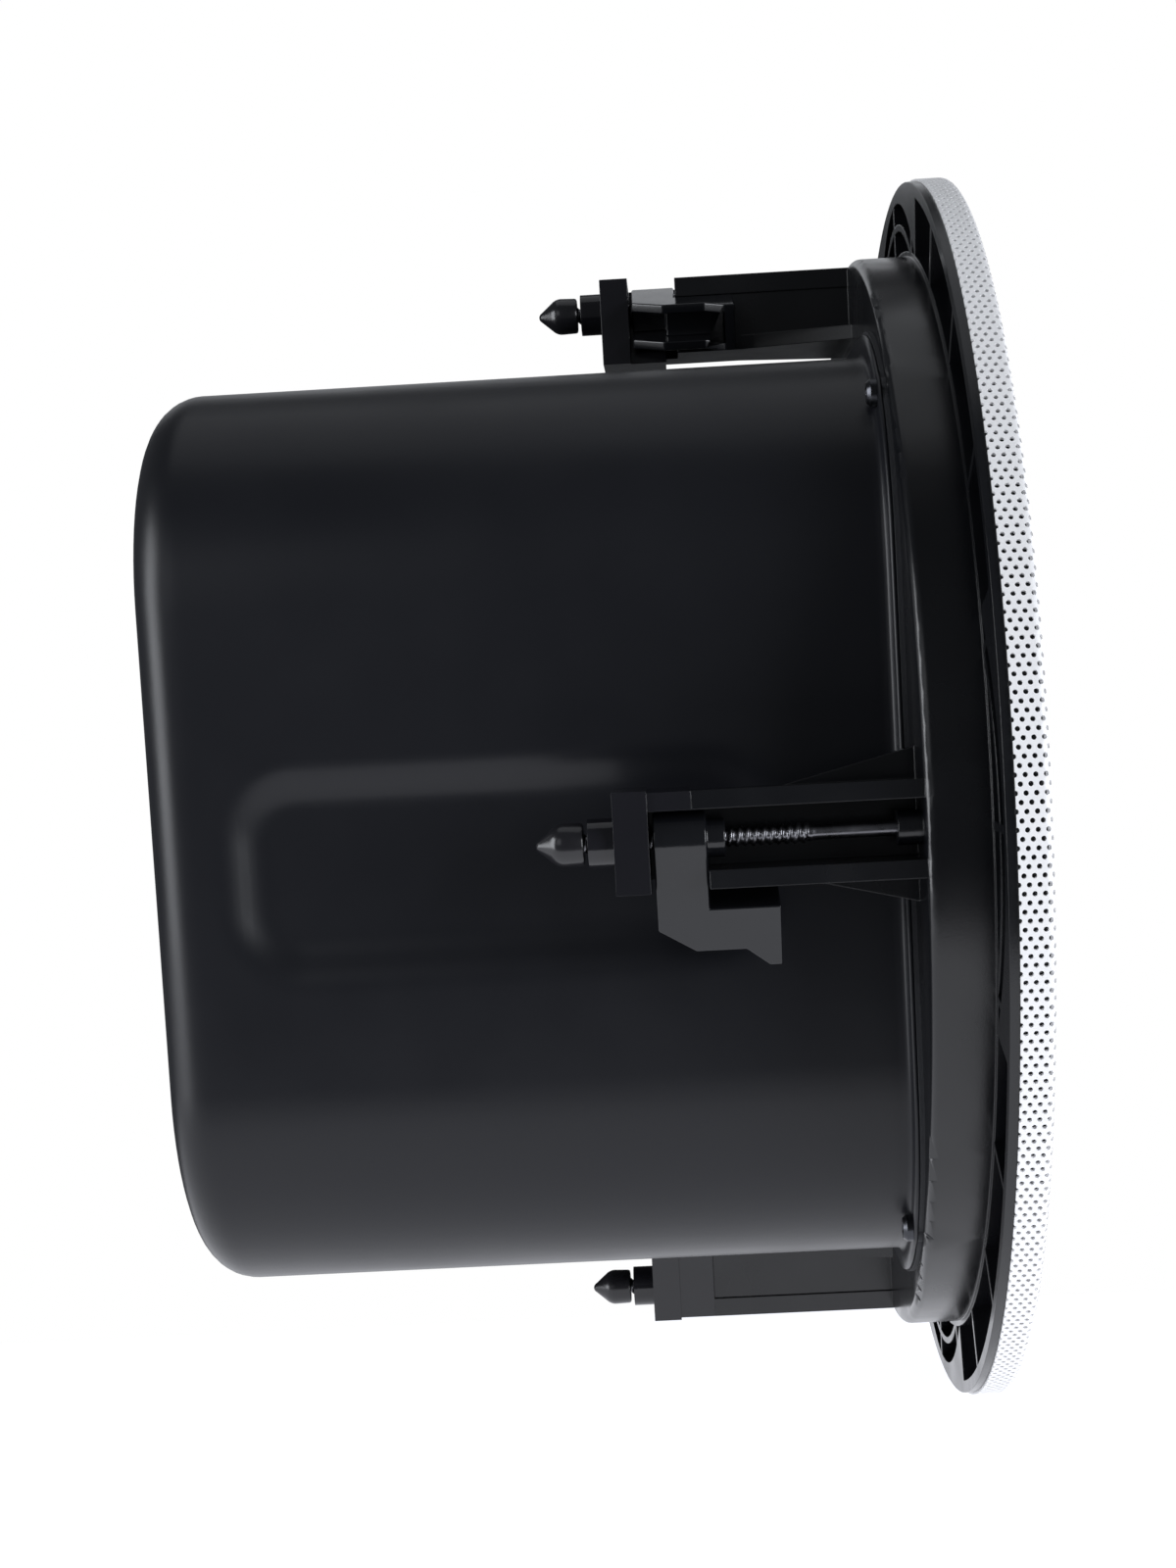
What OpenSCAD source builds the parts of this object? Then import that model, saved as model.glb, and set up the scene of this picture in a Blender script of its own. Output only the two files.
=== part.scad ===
// Flush-mount loudspeaker: a moulded bezel that drops into a round cut-out, a drawn steel back can behind it,
// a perforated steel grille in front, and four swing-out dogs on long screws that clamp it to the panel.
// Every piece is drawn with the speaker's axis upright: z = 0 is the panel seat, +z runs back into the ceiling or wall.
// The last step lays that axis along +Y, so that the grille faces -Y and the clamp named top points up.

/* [Cut-out neck] */
// Diameter of the neck, which is what passes through the panel's cut-out
neck_d = 265; // [262:0.5:272]
// Length of the neck behind the panel seat
neck_len = 13; // [11:0.5:18]
// Wall of the neck
neck_wall = 3; // [2:0.1:3.4]
// Rounding of the neck's rear edge
neck_edge_r = 2; // [0.5:0.1:2.4]
// Thickness of the baffle plate at the rear of the neck
baffle_t = 3; // [2.5:0.1:4]

/* [Flange] */
// Width of the flange outside the neck
flange_w = 17; // [15:0.5:24]
// Thickness of the flange edge that shows behind the grille
flange_t = 2; // [1.5:0.1:3]
// Front skin of the flange, in front of the rear pockets
flange_skin = 3.2; // [2:0.1:4]
// Outer and inner walls of the rear pockets
pocket_wall = 2.4; // [1.6:0.1:3]
// Number of ribs in the rear pockets, a multiple of four
rib_count = 24; // [16:4:36]
// Thickness of each rib and arch wall
rib_t = 1.6; // [1:0.1:2.4]
// Radius of the arches around each clamp
arch_r = 54; // [48:1:60]
// Distance from the outer arch to the inner one
arch_step = 5; // [4:0.5:6]

/* [Grille] */
// Depth of the grille pan
grille_h = 7; // [6:0.1:10]
// Sheet thickness of the grille
grille_t = 0.8; // [0.6:0.1:1.2]
// Outside rounding of the pan's edge
grille_edge_r = 1.6; // [1.3:0.1:3]
// How far the grille stands out past the flange edge
grille_proud = 0.5; // [0.3:0.1:0.7]
// Gap between the pan's wall and the step it grips
grille_fit = 0.1; // [0.05:0.01:0.3]
// Pitch of the drawn perforation
perf_pitch = 12; // [10:0.5:16]
// Diameter of each drawn hole
perf_d = 6; // [3:0.1:6.5]
// Thickness of the cloth behind the perforation
cloth_t = 0.4; // [0.2:0.1:0.6]

/* [Back can] */
// Gap between the can's flat sides and the clamp towers
can_gap = 10.6; // [9:0.1:14]
// Distance from the neck's outside to the can's round corners
corner_inset = 8.4; // [8:0.1:9.4]
// Depth of the can behind its brim seat
can_depth = 161; // [150:1:200]
// Sheet thickness of the can
can_t = 0.9; // [0.7:0.1:1.5]
// Rounding of the can's rear edge
can_edge_r = 11; // [6:0.5:14]
// Width of the can's brim at the flats
brim_w = 5.6; // [4:0.1:7]
// Thickness of the gasket under the brim
gasket_t = 1; // [0.6:0.1:3]
// Width of the pressed relief on each side
relief_w = 50; // [46:1:60]
// Depth of the pressed relief
relief_depth = 4; // [3:0.1:6]
// Width of the sloping border of the relief
relief_slope = 9; // [5:0.1:10]
// Corner radius of the relief
relief_r = 18; // [15:0.5:22]
// How far the relief is set towards the dog's side
relief_shift = 5; // [0:0.5:14]
// Distance from the brim to the relief's front edge
relief_start = 24; // [14:0.5:30]
// Distance from the relief's rear edge to the can's rear
relief_end = 15; // [14:0.5:30]
// Width of the recess in the can's rear
recess_w = 130; // [124:1:140]
// Height of the recess in the can's rear
recess_h = 84; // [78:1:96]
// Depth of the recess in the can's rear
recess_depth = 16; // [15:0.5:20]
// Corner radius of the recess
recess_r = 12; // [6:0.5:18]
// Diameter of the can screws' shanks
can_screw_d = 3; // [2.5:0.1:3.4]
// Diameter of the can screws' heads
can_screw_head_d = 5.8; // [5:0.1:6]
// Length of the can screws
can_screw_len = 10; // [7:0.5:12]

/* [Clamps] */
// Gap between the clamp screw's head and the neck's inside
head_gap = 0.5; // [0.3:0.1:1]
// Length of the tower's longer rail behind the neck
rail_long = 45.7; // [40:0.1:60]
// Gap between the stowed dog and the end of the shorter rail, which is on the dog's side
rail_gap = 0.3; // [0.2:0.1:1]
// Gap between the dog's barrel and each rail of the channel it lies in
channel_gap = 0.6; // [0.4:0.1:1.1]
// Thickness of each rail
rail_t = 3.7; // [2.5:0.1:3.9]
// Radial height of the tower
tower_h = 18.2; // [17.5:0.1:18.6]
// Thickness of the tower's floor
tower_floor = 3.4; // [2.4:0.1:4.4]
// Width of the gusset at the foot of each rail
gusset_w = 6; // [3:0.5:9]
// Length of the gusset along the rail
gusset_l = 27; // [15:1:32]
// Length of the dog's barrel along the screw
dog_len = 10.5; // [9:0.1:12]
// Radius of the dog's barrel, which is half its thickness
dog_r = 5.5; // [5:0.1:5.6]
// Length of the collar in front of the barrel
collar_len = 3.8; // [2:0.1:6]
// Radius of the collar
collar_r = 3.9; // [3.2:0.1:4.8]
// Gap between the barrel and the end bracket
dog_gap = 0.9; // [0.4:0.1:1.5]
// Distance from the screw's axis to the foot's inner edge
foot_in = 13.2; // [13:0.1:15]
// Distance from the screw's axis to the dog's tip
foot_out = 26.4; // [24:0.1:30]
// How far the foot reaches forward of the barrel
foot_reach = 14.3; // [8:0.1:18]
// Wall of the hollow dog
dog_wall = 2.2; // [1.6:0.1:2.8]
// Angle by which the stowed dog is turned in from square
stow_tilt = 20; // [14:1:21]
// Thickness of the end bracket's plate
bracket_t = 6.9; // [5:0.1:9]
// Space for the dog between the long rail and the plate
bracket_arm = 8.7; // [8:0.1:12]
// Radius of the boss on the end bracket
bracket_boss_r = 5; // [4:0.1:6]
// Length of the boss on the end bracket
bracket_boss_l = 5.2; // [3:0.1:8]
// Radius of the pins that join the bracket to the tower
pin_r = 1.1; // [0.8:0.1:1.2]
// Length of the pins that join the bracket to the tower
pin_l = 5; // [3:0.1:8]
// Diameter of the clamp screw over its thread
thread_d = 4.2; // [3.5:0.1:4.6]
// Diameter of the clamp screw's plain shank
shank_d = 3; // [2.4:0.1:3.4]
// Length of the plain shank behind the baffle
shank_l = 21.6; // [10:0.1:30]
// Diameter of the clamp screw's head
clamp_head_d = 8; // [7:0.1:9]
// Height of the clamp screw's head
clamp_head_h = 3; // [2.4:0.1:4]
// Length of the bullet tip
tip_len = 9.7; // [8:0.1:12]
// Radius of the bullet tip
tip_r = 4.4; // [3.6:0.1:5]
// Gap between the bracket's boss and the tip
tip_gap = 0.9; // [0.5:0.1:1.5]
// Running clearance between a turning part and its bore
run_fit = 0.06; // [0.03:0.01:0.1]

/* [Woofer] */
// Width of baffle plate between the woofer's hole and the can's flat sides
baffle_land = 9.4; // [8:0.1:12]
// Distance from the edge of the woofer's hole out to its gasket
gasket_step = 2; // [1.5:0.1:3]
// Width of the woofer's gasket
gasket_w = 8; // [7.6:0.1:10]
// Sheet thickness of the basket
basket_t = 1.6; // [1.2:0.1:2.4]
// Depth from the baffle's front face to the spider shelf
shelf_z = 34; // [30:0.5:42]
// Depth from the baffle's front face to the motor
motor_z = 52; // [48:0.5:60]
// Radius of the magnet
magnet_r = 55; // [48:0.5:60]
// Thickness of the magnet
magnet_h = 18; // [12:0.5:24]
// Thickness of the two iron plates
iron_t = 6; // [4:0.5:8]
// Radius of the pole
pole_r = 17.9; // [15:0.1:18]
// Clearance on each side of the voice coil
coil_gap = 0.6; // [0.5:0.1:0.8]
// Wall of the voice coil's former
former_t = 0.4; // [0.3:0.1:0.5]
// Thickness of the winding on the former
winding_t = 0.7; // [0.4:0.1:1]
// Width of the surround, from the cone's edge to the gasket
surround_w = 11; // [9:0.1:13]
// Thickness of the cone
cone_t = 0.8; // [0.6:0.1:1.2]
// Flat border on each side of the surround's half roll
roll_border = 0.9; // [0.7:0.1:1.4]
// Thickness of the surround and the spider
rubber_t = 0.6; // [0.5:0.1:0.9]
// Thickness of the woofer's front gasket
front_gasket_t = 2; // [1.5:0.1:3]
// Diameter of the woofer screws' shanks
woofer_screw_d = 4; // [3:0.1:4.5]
// Diameter of the woofer screws' heads
woofer_screw_head_d = 7.6; // [6.5:0.1:8]

/* [Tweeter] */
// Radius of the tweeter's cup
tweeter_r = 24; // [20:0.5:26]
// Depth of the tweeter's cup
tweeter_h = 16; // [14:0.5:20]
// Radius of the tweeter's dome
dome_r = 12.5; // [10:0.5:14]
// Distance from the front of the tweeter's cup back to the rim of the dome
dome_set = 5.4; // [4:0.1:6]
// Radius of the post that carries the tweeter
post_r = 5; // [4:0.1:8]
// Distance from the grille cloth back to the tweeter
tweeter_back = 7; // [4:0.5:10]

/* [Inside the can] */
// Length of the crossover board
board_l = 96; // [90:1:104]
// Width of the crossover board
board_w = 66; // [60:1:74]
// Thickness of the crossover board
board_t = 1.6; // [1.2:0.1:2]
// Height of the standoffs under the board
standoff_h = 6; // [4:0.5:10]
// Radius of the inductor
inductor_r = 17; // [14:0.5:18]
// Height of the inductor
inductor_h = 16; // [10:0.5:20]
// Radius of the large capacitor
cap_r = 7; // [5:0.5:8]
// Length of the large capacitor
cap_l = 34; // [24:1:40]
// Length of the small capacitor and of the resistor
small_l = 26; // [18:1:34]
// Thickness of the resistor
resistor_t = 8; // [6:0.5:10]
// Gap between the fibre wadding and the crossover's parts
wadding_gap = 7.9; // [2:0.1:16]
// Length of the slot in the wadding for the leads
lead_slot_l = 16; // [14:0.5:22]
// Distance from each lead to the middle of the pair
lead_apart = 5; // [3:0.1:6]
// Width of the terminal box
box_w = 64; // [56:1:70]
// Height of the terminal box
box_h = 40; // [36:1:46]
// Depth of the terminal box
box_d = 13; // [12:0.5:15]
// Wall of the terminal box
box_wall = 1.8; // [1.4:0.1:2.4]
// Width of the terminal block
terminal_w = 32; // [28:0.5:40]
// Depth of the terminal block from top to bottom
terminal_d = 14; // [12:0.5:16]
// Height of the terminal block off the recess floor
terminal_h = 9; // [7:0.5:10]
// Diameter of the small screws' heads inside the can and in the terminal box
small_head_d = 5.4; // [5:0.1:6]
// Height of the small screws' heads
small_head_h = 1.8; // [1.4:0.1:2.2]
// Diameter of the hole in the safety eye
eye_d = 7; // [5:0.5:8]
// Diameter of each inner lead
lead_d = 2; // [1.5:0.1:2.4]

/* [Hidden] */
$fn = 96;
sides = ["left", "top", "right", "bottom"];
neck_r = neck_d / 2;
neck_in_r = neck_r - neck_wall;
ledge_r = neck_r + flange_w;
grille_r = ledge_r + grille_proud;
step_r = grille_r - grille_t - grille_fit;
grille_z = -flange_t - grille_h;
cloth_z = grille_z + grille_t;
front_z = cloth_z + cloth_t;
edge_cut = 0.8 * (grille_edge_r - grille_t);
pocket_floor_z = front_z + flange_skin;
pocket_out_r = step_r - pocket_wall;
pocket_in_r = neck_r + pocket_wall / 2;
funnel_r = neck_r + 4.5;
funnel_z = front_z + 4.8;
baffle_z = neck_len - baffle_t;
brim_z = neck_len + gasket_t;
clamp_r = neck_in_r - clamp_head_d / 2 - head_gap;
channel_half = dog_r + channel_gap;
tower_half = channel_half + rail_t;
tower_out = clamp_r + 6.2;
tower_in = tower_out - tower_h;
can_half = tower_in - can_gap;
can_w = 2 * can_half;
can_rear_z = brim_z + can_depth;
recess_z = can_rear_z - recess_depth;
relief_l = can_depth - relief_start - relief_end;
corner_reach = neck_r - corner_inset;
can_corner_r = (sqrt(2) * can_half - corner_reach) / (sqrt(2) - 1);
can_screw_r = corner_reach + can_screw_head_d / 2 + 0.3;
brim_lim_r = neck_r - 1.5;
screw_boss_r = 4.5;
rail_end = neck_len + rail_long;
plate_z = rail_end + bracket_arm;
dog_z1 = plate_z - dog_gap;
dog_z0 = dog_z1 - dog_len;
short_end = dog_z0 - rail_gap;
foot_z = dog_z0 - foot_reach;
boss_end = plate_z + bracket_t + bracket_boss_l;
tip_z = boss_end + tip_gap;
screw_end = tip_z + 0.6 * tip_len;
base_boss_l = 5;
base_boss_wall = 1.4;
rail_pin_in = 2.6;
woofer_cut_r = can_half - baffle_land;
gasket_in_r = woofer_cut_r + gasket_step;
basket_r = gasket_in_r + gasket_w;
cone_r = gasket_in_r - surround_w;
roll_r = surround_w / 2 - roll_border;
basket_front = baffle_z - basket_t;
land_z = basket_front - rubber_t;
gasket_front = land_z - front_gasket_t;
woofer_screw_r = basket_r - woofer_screw_head_d / 2 - 0.2;
shelf_at = baffle_z + shelf_z;
motor_at = baffle_z + motor_z;
top_plate_z = motor_at + basket_t;
magnet_z = top_plate_z + iron_t;
back_plate_z = magnet_z + magnet_h;
motor_end = back_plate_z + iron_t;
former_in = pole_r + coil_gap;
former_out = former_in + former_t;
coil_out = former_out + winding_t;
gap_r = coil_out + coil_gap;
cone_neck_z = shelf_at - 5;
shelf_r = 60;
shelf_out_r = 70;
basket_neck_r = 46;
post_z = front_z + tweeter_back + tweeter_h;
floor_in_z = recess_z - can_t;
board_z = floor_in_z - standoff_h - board_t;
wadding_z = motor_end + 3;
wadding_t = board_z - inductor_h - wadding_gap - wadding_z;
wadding_half = can_half - relief_depth - can_t - 0.3;
lead_x = (shelf_r + shelf_out_r) / 2 - 1;
screw_head_h = 2.2;
tag_t = 1.6;
tag_h = 7;
ear_in = 5;
grommet_r = lead_d + 2;
grommet_lip = 1.6;
grommet_y = box_h / 2 - box_wall - grommet_r - grommet_lip - 1;
eye_tab_r = 8;
eye_tab_t = 2.5;

// Lays the upright drawing down, so that its +z becomes +Y and its -y becomes +Z
module laid() {
    rotate([-90, 0, 0]) children();
}

// Turns a clamp drawn at angle 0 to its own side: left is -X, top is +Z
module at_side(i) {
    rotate([0, 0, 180 + 90 * i]) children();
}

module tube(r_out, r_in, h) {
    linear_extrude(h) difference() {
        circle(r_out);
        circle(r_in);
    }
}

module rounded_square(w, h, r) {
    square([w - 2 * r, h], center = true);
    square([w, h - 2 * r], center = true);
    for (x = [-1, 1], y = [-1, 1]) translate([x * (w / 2 - r), y * (h / 2 - r)]) circle(r);
}

// Half profile of a drawn pan: a rectangle whose far outer corner is rounded
module pan_profile(r, h, edge) {
    square([r - edge, h]);
    square([r, h - edge]);
    translate([r - edge, h - edge]) circle(edge);
}

// A rounded-square block with its rear edge rounded all round, made of four turned corners and two crossing bars
module can_block(half, corner, edge, h) {
    flat = half - corner;
    for (x = [-1, 1], y = [-1, 1]) translate([x * flat, y * flat])
        rotate_extrude() pan_profile(corner, h, edge);
    for (turn = [0, 90]) rotate([0, 0, turn]) rotate([90, 0, 0])
        linear_extrude(2 * flat, center = true) {
            pan_profile(half, h, edge);
            mirror([1, 0]) pan_profile(half, h, edge);
        }
}

// Pressed relief on the side at angle 0, as the block that is pushed in; grow thickens it all round.
// Four truncated cones make its corners and two crossing bars with sloping ends make the rest.
module relief(grow) {
    over = 1;
    run = relief_slope / relief_depth;
    depth = relief_depth + grow + over;
    wide = grow + run * over;
    base_r = relief_r + wide;
    half_l = relief_l / 2 - relief_r;
    half_w = relief_w / 2 - relief_r;
    translate([can_half + over, -relief_shift, brim_z + relief_start + relief_l / 2]) rotate([0, -90, 0]) {
        for (x = [-half_l, half_l], y = [-half_w, half_w]) translate([x, y, 0])
            cylinder(h = depth, r1 = base_r, r2 = base_r - run * depth);
        rotate([90, 0, 0]) linear_extrude(2 * half_w, center = true) slope_profile(half_l + base_r, depth, run);
        rotate([90, 0, 90]) linear_extrude(2 * half_l, center = true) slope_profile(half_w + base_r, depth, run);
    }
}

module slope_profile(half, depth, run) {
    polygon([[-half, 0], [half, 0], [half - run * depth, depth], [-half + run * depth, depth]]);
}

module reliefs(grow) {
    for (i = [0 : 3]) at_side(i) relief(grow);
}

module recess_block(grow) {
    translate([0, 0, recess_z - grow]) linear_extrude(recess_depth + grow + 1)
        rounded_square(recess_w + 2 * grow, recess_h + 2 * grow, recess_r + grow);
}

module brim_outline() {
    intersection() {
        rounded_square(can_w + 2 * brim_w, can_w + 2 * brim_w, can_corner_r + brim_w);
        circle(brim_lim_r);
    }
    for (a = [45 : 90 : 315]) rotate(a) translate([can_screw_r, 0]) circle(can_screw_d / 2 + 1.6);
}

module at_can_screws() {
    for (a = [45 : 90 : 315]) rotate([0, 0, a]) translate([can_screw_r, 0, 0]) children();
}

module at_woofer_screws() {
    for (a = [45 : 90 : 315]) rotate([0, 0, a]) translate([woofer_screw_r, 0, 0]) children();
}

// Perforated pan: a flat face with a staggered field of round holes, and a turned wall with two rows of them
module grille() {
    face_r = grille_r - grille_edge_r;
    color("gainsboro") laid() {
        translate([0, 0, grille_z]) linear_extrude(grille_t) difference() {
            circle(face_r);
            perforation();
        }
        difference() {
            rotate_extrude() {
                translate([grille_r - grille_t, grille_z + grille_edge_r]) square([grille_t, grille_h - grille_edge_r]);
                translate([face_r, grille_z + grille_edge_r]) intersection() {
                    difference() {
                        circle(grille_edge_r);
                        circle(grille_edge_r - grille_t);
                    }
                    translate([0, -grille_edge_r]) square(grille_edge_r);
                }
            }
            wall_perforation();
        }
    }
}

module perforation() {
    field_r = grille_r - grille_edge_r - perf_d;
    row_h = perf_pitch * sqrt(3) / 2;
    rows = floor(field_r / row_h);
    for (row = [-rows : rows]) {
        shift = (abs(row) % 2) * perf_pitch / 2;
        half_chord = sqrt(max(0, pow(field_r, 2) - pow(row * row_h, 2)));
        n = floor((half_chord + shift) / perf_pitch);
        for (k = [-n : n])
            if (abs(k * perf_pitch + shift) <= half_chord)
                translate([k * perf_pitch + shift, row * row_h]) circle(perf_d / 2, $fn = 20);
    }
}

module wall_perforation() {
    per_row = 4 * round(2 * PI * grille_r / (perf_pitch * 1.6) / 4);
    hole_d = min(perf_d / 2, (grille_h - grille_edge_r) / 3);
    for (i = [0 : per_row - 1], row = [0, 1])
        rotate([0, 0, (i + row / 2) * 360 / per_row])
            translate([grille_r - 3 * grille_t, 0, -flange_t - (0.28 + 0.42 * row) * (grille_h - grille_edge_r)])
                rotate([0, 90, 0]) cylinder(h = 5 * grille_t, d = hole_d, $fn = 16);
}

module grille_cloth() {
    color("dimgray") laid() translate([0, 0, cloth_z])
        cylinder(h = cloth_t, r = grille_r - grille_edge_r - 0.2);
}

// Moulded bezel: flange, neck, baffle plate and the four clamp towers in one piece
module bezel() {
    color("#1f1f22") laid() difference() {
        union() {
            rotate_extrude() bezel_profile();
            for (i = [0 : 3]) at_side(i) tower();
            at_can_screws() translate([0, 0, neck_len - can_screw_len - 1]) cylinder(h = can_screw_len + 1, r = screw_boss_r);
            at_woofer_screws() translate([0, 0, baffle_z]) cylinder(h = baffle_t + 4, d = woofer_screw_d + 5);
        }
        translate([0, 0, pocket_floor_z]) linear_extrude(-pocket_floor_z + 1) rear_pockets();
        for (i = [0 : 3]) at_side(i) tower_bores();
        at_can_screws() translate([0, 0, brim_z - can_screw_len - 0.5]) cylinder(h = can_screw_len, d = can_screw_d + 2 * run_fit);
        at_woofer_screws() translate([0, 0, baffle_z - 1]) cylinder(h = baffle_t + 6, d = woofer_screw_d + 2 * run_fit);
    }
}

module bezel_profile() {
    polygon([
        [woofer_cut_r, baffle_z], [neck_in_r, baffle_z], [neck_in_r, funnel_z], [funnel_r, front_z],
        [step_r - edge_cut, front_z], [step_r, front_z + edge_cut], [step_r, -flange_t], [ledge_r, -flange_t], [ledge_r, 0],
        [neck_r, 0], [neck_r, neck_len - neck_edge_r], [neck_r - neck_edge_r, neck_len], [woofer_cut_r, neck_len]
    ]);
    translate([neck_r - neck_edge_r, neck_len - neck_edge_r]) intersection() {
        circle(neck_edge_r);
        square(neck_edge_r);
    }
}

// Pockets between the flange's two walls, divided by radial ribs, with an arch and a solid crescent at each clamp
module rear_pockets() {
    arch_centre = pocket_out_r - arch_r;
    difference() {
        circle(pocket_out_r);
        circle(pocket_in_r);
        for (i = [0 : rib_count - 1]) rotate(i * 360 / rib_count) translate([0, -rib_t / 2]) square([ledge_r, rib_t]);
        for (i = [0 : 3]) rotate(90 * i) {
            difference() {
                polygon([[0, 0], [ledge_r * 2, -ledge_r * 0.66], [ledge_r * 2, ledge_r * 0.66]]);
                translate([arch_centre, 0]) circle(arch_r);
            }
            translate([arch_centre - arch_step, 0]) difference() {
                circle(arch_r);
                circle(arch_r - rib_t);
            }
        }
    }
}

// Open channel that guides the dog, one rail shorter than the other, with a gusset at the foot of each
module tower() {
    lip = 4.6;
    back = 0.5;
    translate([0, 0, baffle_z]) {
        linear_extrude(rail_end - baffle_z) half_channel(lip, back);
        linear_extrude(short_end - baffle_z) mirror([0, 1]) half_channel(lip, back);
        translate([clamp_r, 0, 0]) cylinder(h = baffle_t + base_boss_l, r = thread_d / 2 + base_boss_wall);
    }
    for (side = [-1, 1]) translate([tower_in, 0, 0]) rotate([90, 0, 90]) linear_extrude(tower_floor)
        polygon([
            [side * channel_half, neck_len - 1], [side * (tower_half + gusset_w), neck_len - 1],
            [side * (tower_half + gusset_w), neck_len], [side * (tower_half - back), neck_len + gusset_l],
            [side * channel_half, neck_len + gusset_l]
        ]);
}

// Section of one rail with its half of the floor
module half_channel(lip, back) {
    translate([tower_in, 0]) square([tower_floor, tower_half - back]);
    translate([tower_in, channel_half]) square([tower_h - lip, rail_t - back]);
    translate([tower_out - lip, channel_half]) square([lip, rail_t]);
}

// Places of the two pins between a tower and its bracket: one in the longer rail, one in the floor
module at_bracket_pins() {
    translate([tower_out - rail_pin_in, channel_half + rail_t / 2, 0]) children();
    translate([tower_in + tower_floor / 2, channel_half / 2, 0]) children();
}

module tower_bores() {
    translate([clamp_r, 0, baffle_z - 1]) cylinder(h = baffle_t + base_boss_l + 2, d = thread_d + 2 * run_fit);
    translate([0, 0, rail_end - pin_l - 0.3]) at_bracket_pins() cylinder(h = pin_l + 1, r = pin_r + run_fit);
}

module can_gasket() {
    color("#2c2c2e") laid() translate([0, 0, neck_len]) linear_extrude(gasket_t) difference() {
        brim_outline();
        rounded_square(can_w - 2 * can_t, can_w - 2 * can_t, can_corner_r - can_t);
        for (a = [45 : 90 : 315]) rotate(a) translate([can_screw_r, 0]) circle(can_screw_d / 2 + run_fit);
    }
}

// Drawn steel can: shell of even wall, a pressed relief beside each clamp, a deep recess in the rear and a brim
module back_can() {
    color("#18181a") laid() difference() {
        union() {
            difference() {
                translate([0, 0, brim_z]) can_block(can_half, can_corner_r, can_edge_r, can_depth);
                reliefs(0);
                recess_block(0);
            }
            translate([0, 0, brim_z]) linear_extrude(can_t) brim_outline();
        }
        difference() {
            translate([0, 0, brim_z - 1])
                can_block(can_half - can_t, can_corner_r - can_t, can_edge_r - can_t, can_depth - can_t + 1);
            reliefs(can_t);
            recess_block(can_t);
        }
        at_can_screws() translate([0, 0, brim_z - 1]) cylinder(h = can_t + 2, d = can_screw_d + 2 * run_fit);
        translate([0, grommet_y, recess_z - can_t - 1]) cylinder(h = can_t + 2, r = grommet_r);
        for (x = [-1, 1]) translate([x * (box_w / 2 - ear_in), 0, recess_z - can_t - 1]) cylinder(h = can_t + 2, d = can_screw_d + 2 * run_fit);
    }
}

module pan_screw(head_d, head_h, shank, len) {
    translate([0, 0, -head_h]) rotate_extrude() {
        polygon([
            [0, 0.7], [shank * 0.32, 0.7], [shank * 0.42, 0], [head_d / 2 - 0.7, 0], [head_d / 2, 0.8],
            [head_d / 2, head_h], [shank / 2, head_h], [shank / 2, head_h + len - 0.8], [shank / 4, head_h + len], [0, head_h + len]
        ]);
    }
}

module can_screws() {
    color("#2a2a2c") laid() at_can_screws() translate([0, 0, brim_z + can_t]) mirror([0, 0, 1])
        pan_screw(can_screw_head_d, screw_head_h, can_screw_d, can_screw_len);
}

module clamp_screw(i) {
    color("#3a3a3c") laid() at_side(i) translate([clamp_r, 0, 0]) difference() {
        union() {
            translate([0, 0, baffle_z - clamp_head_h]) rotate_extrude() pan_profile_head();
            translate([0, 0, baffle_z]) cylinder(h = baffle_t + base_boss_l, d = thread_d);
            translate([0, 0, baffle_z]) cylinder(h = baffle_t + shank_l + 1, d = shank_d);
            translate([0, 0, neck_len + shank_l]) cylinder(h = screw_end - neck_len - shank_l, d = thread_d);
        }
        for (turn = [0, 90]) rotate([0, 0, turn]) translate([-clamp_head_d * 0.3, -0.5, baffle_z - clamp_head_h - 1])
            cube([clamp_head_d * 0.6, 1, clamp_head_h * 0.6 + 1]);
    }
}

module pan_profile_head() {
    polygon([[0, 0], [clamp_head_d / 2 - 0.8, 0], [clamp_head_d / 2, 0.8], [clamp_head_d / 2, clamp_head_h], [0, clamp_head_h]]);
}

// Bullet tip pressed on the end of the clamp screw, which helps to steer the speaker through the cut-out
module clamp_tip(i) {
    nose_r = 1.3;
    side_l = tip_len * 0.42;
    color("#202022") laid() at_side(i) translate([clamp_r, 0, tip_z]) difference() {
        rotate_extrude() union() {
            polygon([
                [0, 0], [tip_r - 0.4, 0], [tip_r, side_l], [tip_r * 0.93, side_l + 1.2], [tip_r * 0.74, tip_len * 0.74],
                [nose_r, tip_len - nose_r * 0.55], [0, tip_len - nose_r]
            ]);
            intersection() {
                translate([0, tip_len - nose_r]) circle(nose_r);
                translate([0, tip_len - nose_r - 1]) square(nose_r + 1);
            }
        }
        translate([0, 0, -1]) cylinder(h = screw_end - tip_z + 1, r = thread_d / 2 + 0.02);
    }
}

// Hollow dog: a barrel on the screw, an arm and a foot that grips the panel, open at the tip
module clamp_dog(i) {
    color("#2b2b2e") laid() at_side(i) translate([clamp_r, 0, 0]) rotate([0, 0, -90 - stow_tilt]) difference() {
        union() {
            translate([0, 0, dog_z0]) cylinder(h = dog_len, r = dog_r);
            translate([0, 0, dog_z0 - collar_len]) cylinder(h = collar_len + 1, r = collar_r);
            rotate([90, 0, 0]) linear_extrude(2 * dog_r, center = true) dog_outline();
        }
        translate([0, 0, dog_z0 - collar_len - 1]) cylinder(h = dog_len + collar_len + 2, r = thread_d / 2 + run_fit);
        rotate([90, 0, 0]) linear_extrude(2 * (dog_r - dog_wall), center = true) dog_hollow();
    }
}

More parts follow.
